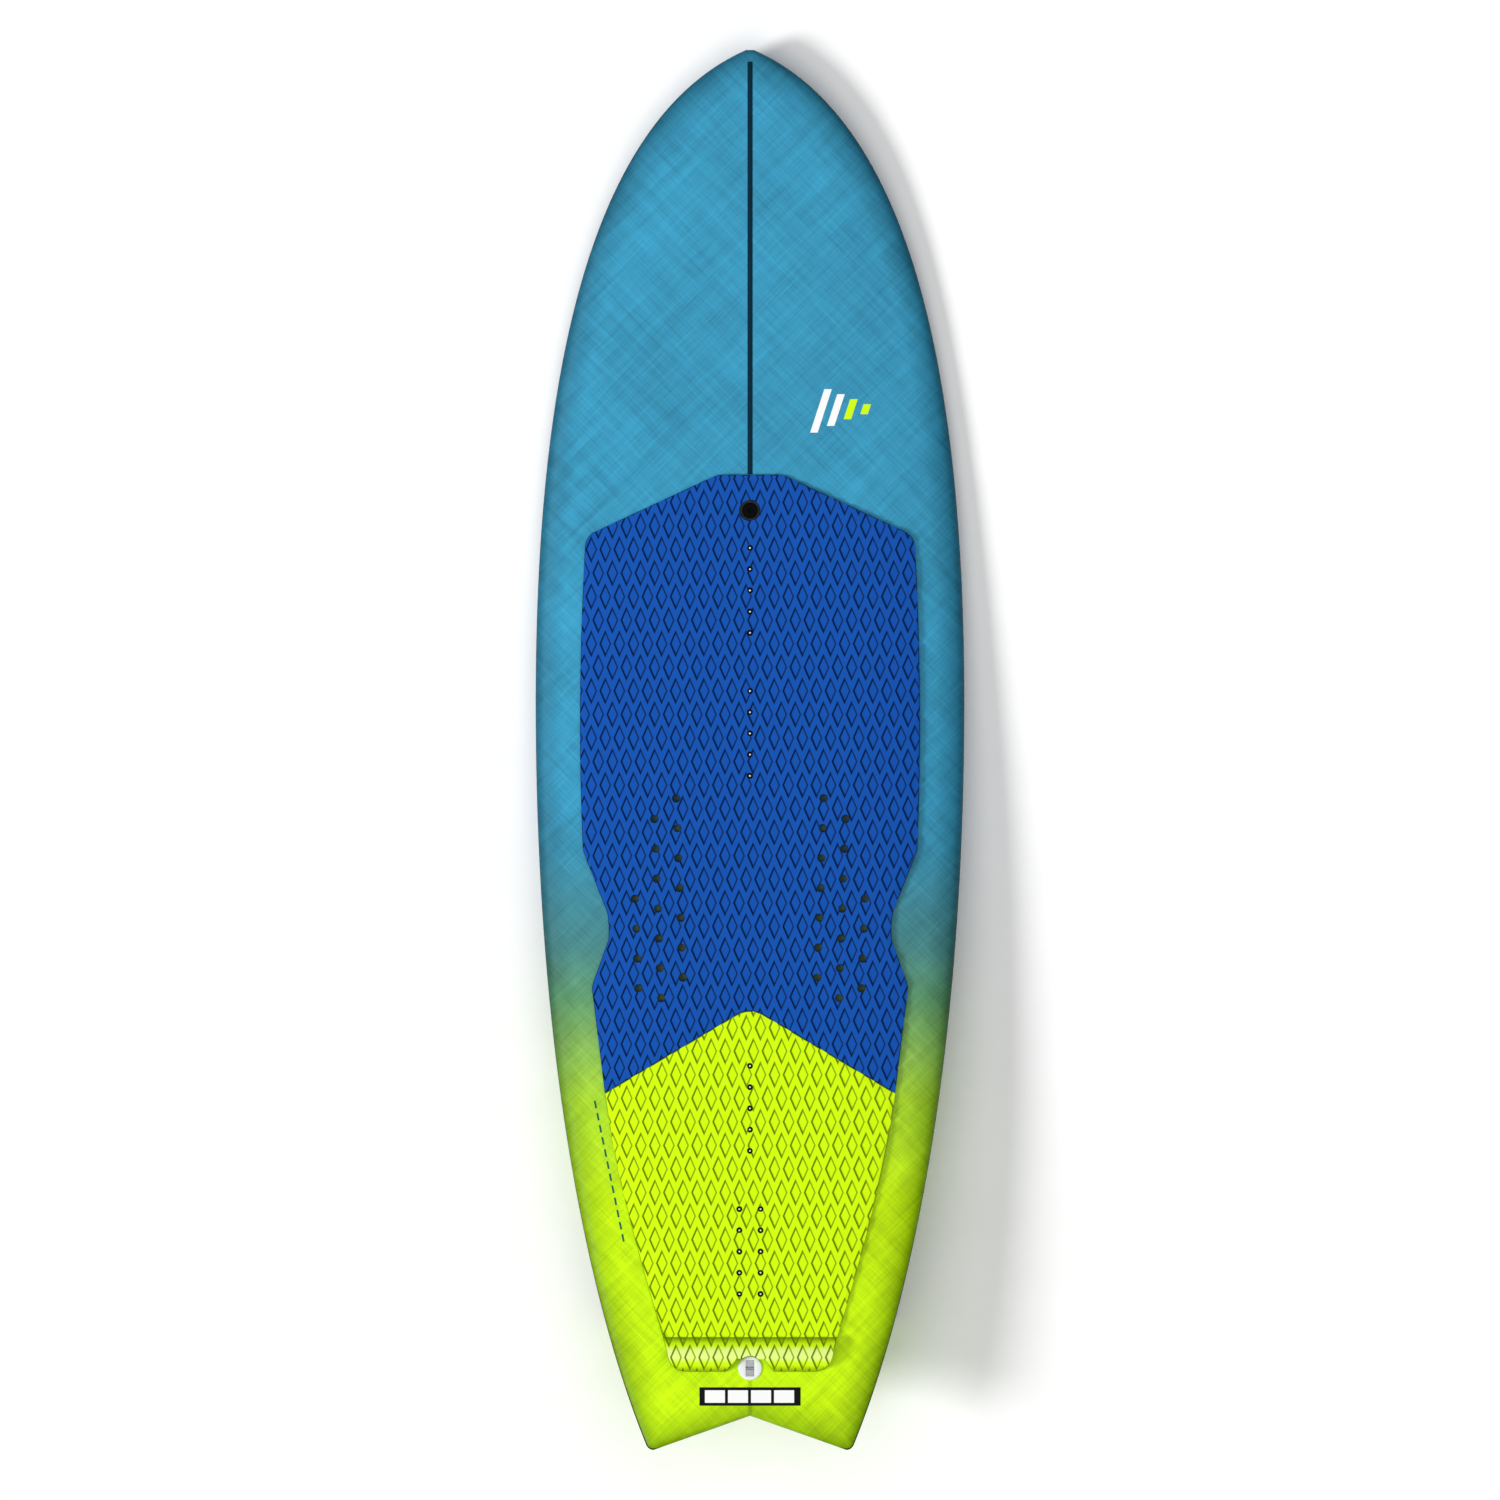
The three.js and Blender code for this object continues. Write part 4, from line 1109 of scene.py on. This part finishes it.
def vent():
    where = deck_frame(VENT_Y)
    bezel = [(4, -18), (10, -18), (10, 1.4), (11.4, 1.4), (12.05, 1.7), (12.05, 3.3), (11.85, 3.75)]
    bezel += [(11.45, 4.05), (11.0, 4.2), (10.0, 4.2), (9.72, 4.1), (9.6, 3.9), (9.6, 1.0), (6.2, 1.0)]
    bezel += [(6.2, -12), (4, -12)]
    ring = ring_shape("vent_bezel", bezel, 64)
    finished(ring, [DARK_GREY], replaces=["vent_housing"], matrix=where)
    head = [(0, -9), (5.5, -9), (5.9, -8.6), (5.9, 2.6), (8.9, 2.6), (9.2, 2.9), (9.2, 4.0), (9.0, 4.28)]
    head += [(8.7, 4.4), (7.9, 4.4), (7.7, 4.25), (7.5, 4.25), (7.3, 4.4), (0, 4.4)]
    cap = turned("vent_cap_screw", head, 64)
    socket = turned("hex_socket", [(0, 2), (3.2, 2), (3.2, 4.1), (3.6, 4.5), (3.6, 6), (0, 6)], 6)
    boolean(cap, "DIFFERENCE", socket)
    finished(cap, [BLACK], body="vent_cap", replaces=["vent_cap"], matrix=where)
    angles = np.linspace(0, 2 * math.pi, 17)[:-1]
    cord = [(7.9 + 0.7 * math.cos(a), 1.85 + 0.7 * math.sin(a)) for a in angles]
    seal = ring_shape("vent_o_ring", cord, 64)
    finished(seal, [RUBBER], body="vent_seal", replaces=["vent_seal"], matrix=where)


def leash_plug():
    where = deck_frame(LEASH_Y)
    profile = [(0, -17), (12.2, -17), (12.6, -16.6), (12.6, 1.1), (13.7, 1.1), (14.2, 1.4), (14.2, 1.7)]
    profile += [(13.95, 2.15), (13.5, 2.4), (0, 2.4)]
    cup = turned("leash_plug_cup", profile, 72)
    wide, long, deep = LEASH_POCKET
    boolean(cup, "DIFFERENCE", box("pocket", (wide, long, deep + 6), (0, 0, LEASH_TOP - deep / 2 + 3)))
    bevelled(cup, 0.35, 2, 50)
    finished(cup, [WHITE], replaces=["leash_cup"], matrix=where, smooth_angle=40)
    bar = [(0, -8.2), (1.4, -8.2), (1.7, -7.9), (1.7, 7.9), (1.4, 8.2), (0, 8.2)]
    rod = turned("leash_plug_bar", bar, 40)
    along = where @ Matrix.Translation((0, 0, -BAR_DROP)) @ Matrix.Rotation(math.pi / 2, 4, "Y")
    finished(rod, [STEEL], replaces=["leash_bar"], matrix=along)


# ---- Fins ----------------------------------------------------------------------------------------
LEADING = [(FIN_BASE / 2, 0), (10, -80), (-74, -FIN_DEPTH)]
TRAILING = [(-FIN_BASE / 2, 0), (-44, -60), (-92, -FIN_DEPTH + 1)]


def foil_half(share):
    """Half thickness of the blade's section, as a share of its most, from the leading edge."""
    return 2.2 * np.sqrt(share) - 2.2 * share + 0.42 * np.sin(math.pi * share) * (1 - share)


def fin_blade(name):
    """A blade lofted from root to tip, with a rounded nose, a thin tail and a round tip."""
    spans = np.sin(np.linspace(0, math.pi / 2, 26))
    lead, trail = bezier(LEADING, spans), bezier(TRAILING, spans)
    shares = (1 - np.cos(np.linspace(0, math.pi, 19))) / 2
    half = foil_half(shares)
    half = half / half.max()
    points = []
    for k, span in enumerate(spans):
        fat = 3.3 * (1 - 0.7 * span) * math.sqrt(max(0.02, 1 - span**10))
        along = lead[k][0] + (trail[k][0] - lead[k][0]) * shares
        down = lead[k][1] + (trail[k][1] - lead[k][1]) * shares - 0.7
        ring = [(fat * max(h, 0.06), a, d) for h, a, d in zip(half, along, down)]
        ring += [(-x, a, d) for x, a, d in ring[::-1]]
        points += ring
    return raw_object(name, points, tube_faces(len(spans), 2 * len(shares), capped=True))


def fins():
    for name, x, y, cant, toe in FINS:
        where = fin_frame(x, y, cant, toe)
        tab = bevelled(box("tab", (6, 69, 10.5), (0, 0, 4.25)), 0.8, 2)
        blade = joined([fin_blade(f"{name}_fin_blade"), tab])
        node = f"{name}_fin"
        finished(blade, [TWILL], replaces=[node], matrix=where, smooth_angle=40)
        housing = bevelled(box(f"{name}_fin_housing", (20, 76, 12), (0, 0, 6)), 4, 4, 80)
        boolean(housing, "DIFFERENCE", box("slot", (6.6, 69.6, 20), (0, 0, 0)))
        for end, side in ((-1, "rear"), (1, "front")):
            hole = turned("screw_hole", [(0, -5), (3.4, -5), (3.4, 0.2), (2.8, 0.8), (2.8, 8), (0, 8)], 28)
            set_coordinates(hole.data, coordinates(hole.data) + (SCREW_SIDE, end * SCREW_REACH, 0))
            boolean(housing, "DIFFERENCE", hole)
            screw = [(0, 0.8), (2.2, 0.8), (2.5, 1.1), (2.5, 7.3), (2.2, 7.6), (0, 7.6)]
            grub = turned(f"{name}_grub_screw_{side}", screw, 28)
            boolean(grub, "DIFFERENCE", turned("hex", [(0, -2), (1.35, -2), (1.35, 3.8), (0, 3.8)], 6))
            node = f"{name}_fin_screw_{side}"
            placed = where @ Matrix.Translation((SCREW_SIDE, end * SCREW_REACH, 0))
            finished(grub, [STEEL], replaces=[node], matrix=placed)
        finished(housing, [BLACK], replaces=[f"{name}_fin_box"], matrix=where)


# ---- Plain printed marks -------------------------------------------------------------------------
def slanted(x, y, width, height, slant):
    """A slanted bar's four corners, from its lower left."""
    return [(x, y), (x + width, y), (x + width + slant, y + height), (x + slant, y + height)]


def sticker(name, outlines, material, height=0.22):
    """Thin printed patches that follow the deck, from plan quadrilaterals."""
    patches = []
    steps = np.linspace(0, 1, 13)
    for corners in outlines:
        a, b, c, d = (np.array(p, float) for p in corners)
        rows = [[(1 - v) * ((1 - u) * a + u * b) + v * ((1 - u) * d + u * c) for u in steps] for v in steps]
        plan = np.array(rows).reshape(-1, 2)
        top = np.column_stack([plan, deck_z(plan[:, 0], plan[:, 1]) + height])
        low = top - (0, 0, height - 0.06)
        count = len(steps)
        under = [tuple(reversed(f)) for f in grid_faces(count, count, start=count**2)]
        faces = grid_faces(count, count) + under
        rim = [r * count for r in range(count)] + [count * (count - 1) + c for c in range(1, count)]
        rim += [r * count + count - 1 for r in range(count - 2, -1, -1)] + list(range(count - 2, 0, -1))
        faces += [(p, q, q + count**2, p + count**2) for p, q in zip(rim, rim[1:] + rim[:1])]
        patches.append(raw_object(name, np.vstack([top, low]), faces))
    mark = joined(patches)
    mark.name = name
    finished(mark, [material])


def marks():
    """Plain stripes where the board carries print."""
    white = [slanted(72, 380, 9, 52, 17), slanted(92, 388, 9, 38, 12.5)]
    lime = [slanted(112, 396, 9, 24, 8), slanted(132, 402, 9, 12, 4)]
    sticker("nose_stripes_white", white, WHITE_INK)
    sticker("nose_stripes_lime", lime, LIME_INK)
    sticker("tail_plate", [slanted(-60.5, -785, 121, 22, 0)], BLACK_INK, 0.3)
    bars = [slanted(-54 + 27.6 * k, -781.5, 24, 15, 0) for k in range(4)]
    sticker("tail_plate_bars", bars, WHITE_INK, 0.42)
    start, end = np.array((-186, -420)), np.array((-150, -594))
    side = np.array((0.98, 0.2)) * 1.1
    dashes = []
    for k in range(12):
        near, far = start + (end - start) * (k / 12), start + (end - start) * ((k + 0.62) / 12)
        dashes.append([near - side, near + side, far + side, far - side])
    sticker("rail_dashes", dashes, GREEN_INK)


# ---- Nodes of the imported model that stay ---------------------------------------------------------
def dress_packed_nodes():
    kept = {
        "core_left": CORE_FOAM,
        "core_right": CORE_FOAM,
        "stringer": WOOD,
        "deck_sandwich_sheet": SHEET_FOAM,
        "bottom_sandwich_sheet": SHEET_FOAM,
        "kick_wedge": KICK_FOAM,
        "vent_membrane": MEMBRANE,
    }
    for name, node in NODES.items():
        material = kept.get(name, DENSE_FOAM if name.endswith("insert_block") else BLACK)
        for slot in node.material_slots:
            slot.link = "OBJECT"
            slot.material = material


# ---- Stage ---------------------------------------------------------------------------------------
def floor():
    s = Surface("floor_paper", roughness=0.9, specular=0.1)
    grain = s.noise(s.place(), 60, 2, 0.5)
    s.colour(s.mix(s.between(grain, 0.3, 0.7), (253, 253, 253), (255, 255, 255)))
    mesh = bpy.data.meshes.new("floor")
    mesh.from_pydata([(-6, -6, 0), (6, -6, 0), (6, 6, 0), (-6, 6, 0)], [], [(0, 1, 2, 3)])
    mesh.materials.append(s.material)
    ground = linked("floor", mesh)
    ground.location.z = -0.0012


def light(kind, name, place, energy, **settings):
    """A light aimed at the middle of the board."""
    data = bpy.data.lights.new(name, kind)
    data.energy = energy
    for key, value in settings.items():
        setattr(data, key, value)
    lamp = linked(name, data)
    lamp.location = place
    lamp.rotation_mode = "QUATERNION"
    lamp.rotation_quaternion = (-Vector(place)).to_track_quat("-Z", "Y")


def lights():
    """A soft key from the left, a broad light from overhead, and an even white room."""
    light("SUN", "left_key", (-2.7, -0.6, 2.15), 2.1, angle=math.radians(16))
    light("SUN", "overhead_fill", (0, 0, 4), 1.35, angle=math.radians(70))
    world = bpy.data.worlds.new("studio")
    world.use_nodes = True
    world.node_tree.nodes["Background"].inputs[0].default_value = (1, 1, 1, 1)
    world.node_tree.nodes["Background"].inputs[1].default_value = 0.2
    bpy.context.scene.world = world


def camera():
    """Straight down on the deck, nose up, square to the hull's own plane."""
    data = bpy.data.cameras.new("camera")
    data.type = "ORTHO"
    data.ortho_scale = VIEW_WIDTH
    data.clip_end = 50
    eye = linked("camera", data)
    turn = TO_ROW.to_3x3().normalized().to_4x4()
    eye.matrix_world = Matrix.Translation(TO_ROW @ Vector((0, 0, 3000))) @ turn
    bpy.context.scene.camera = eye
    bpy.context.scene.view_settings.view_transform = "Standard"


# ---- Build ---------------------------------------------------------------------------------------
camera()
lights()
floor()
dress_packed_nodes()
painted_hull()
carbon_strip()
front_pad()
rear_pad()
hole_shade_dots()
strap_inserts()
vent()
leash_plug()
fins()
marks()
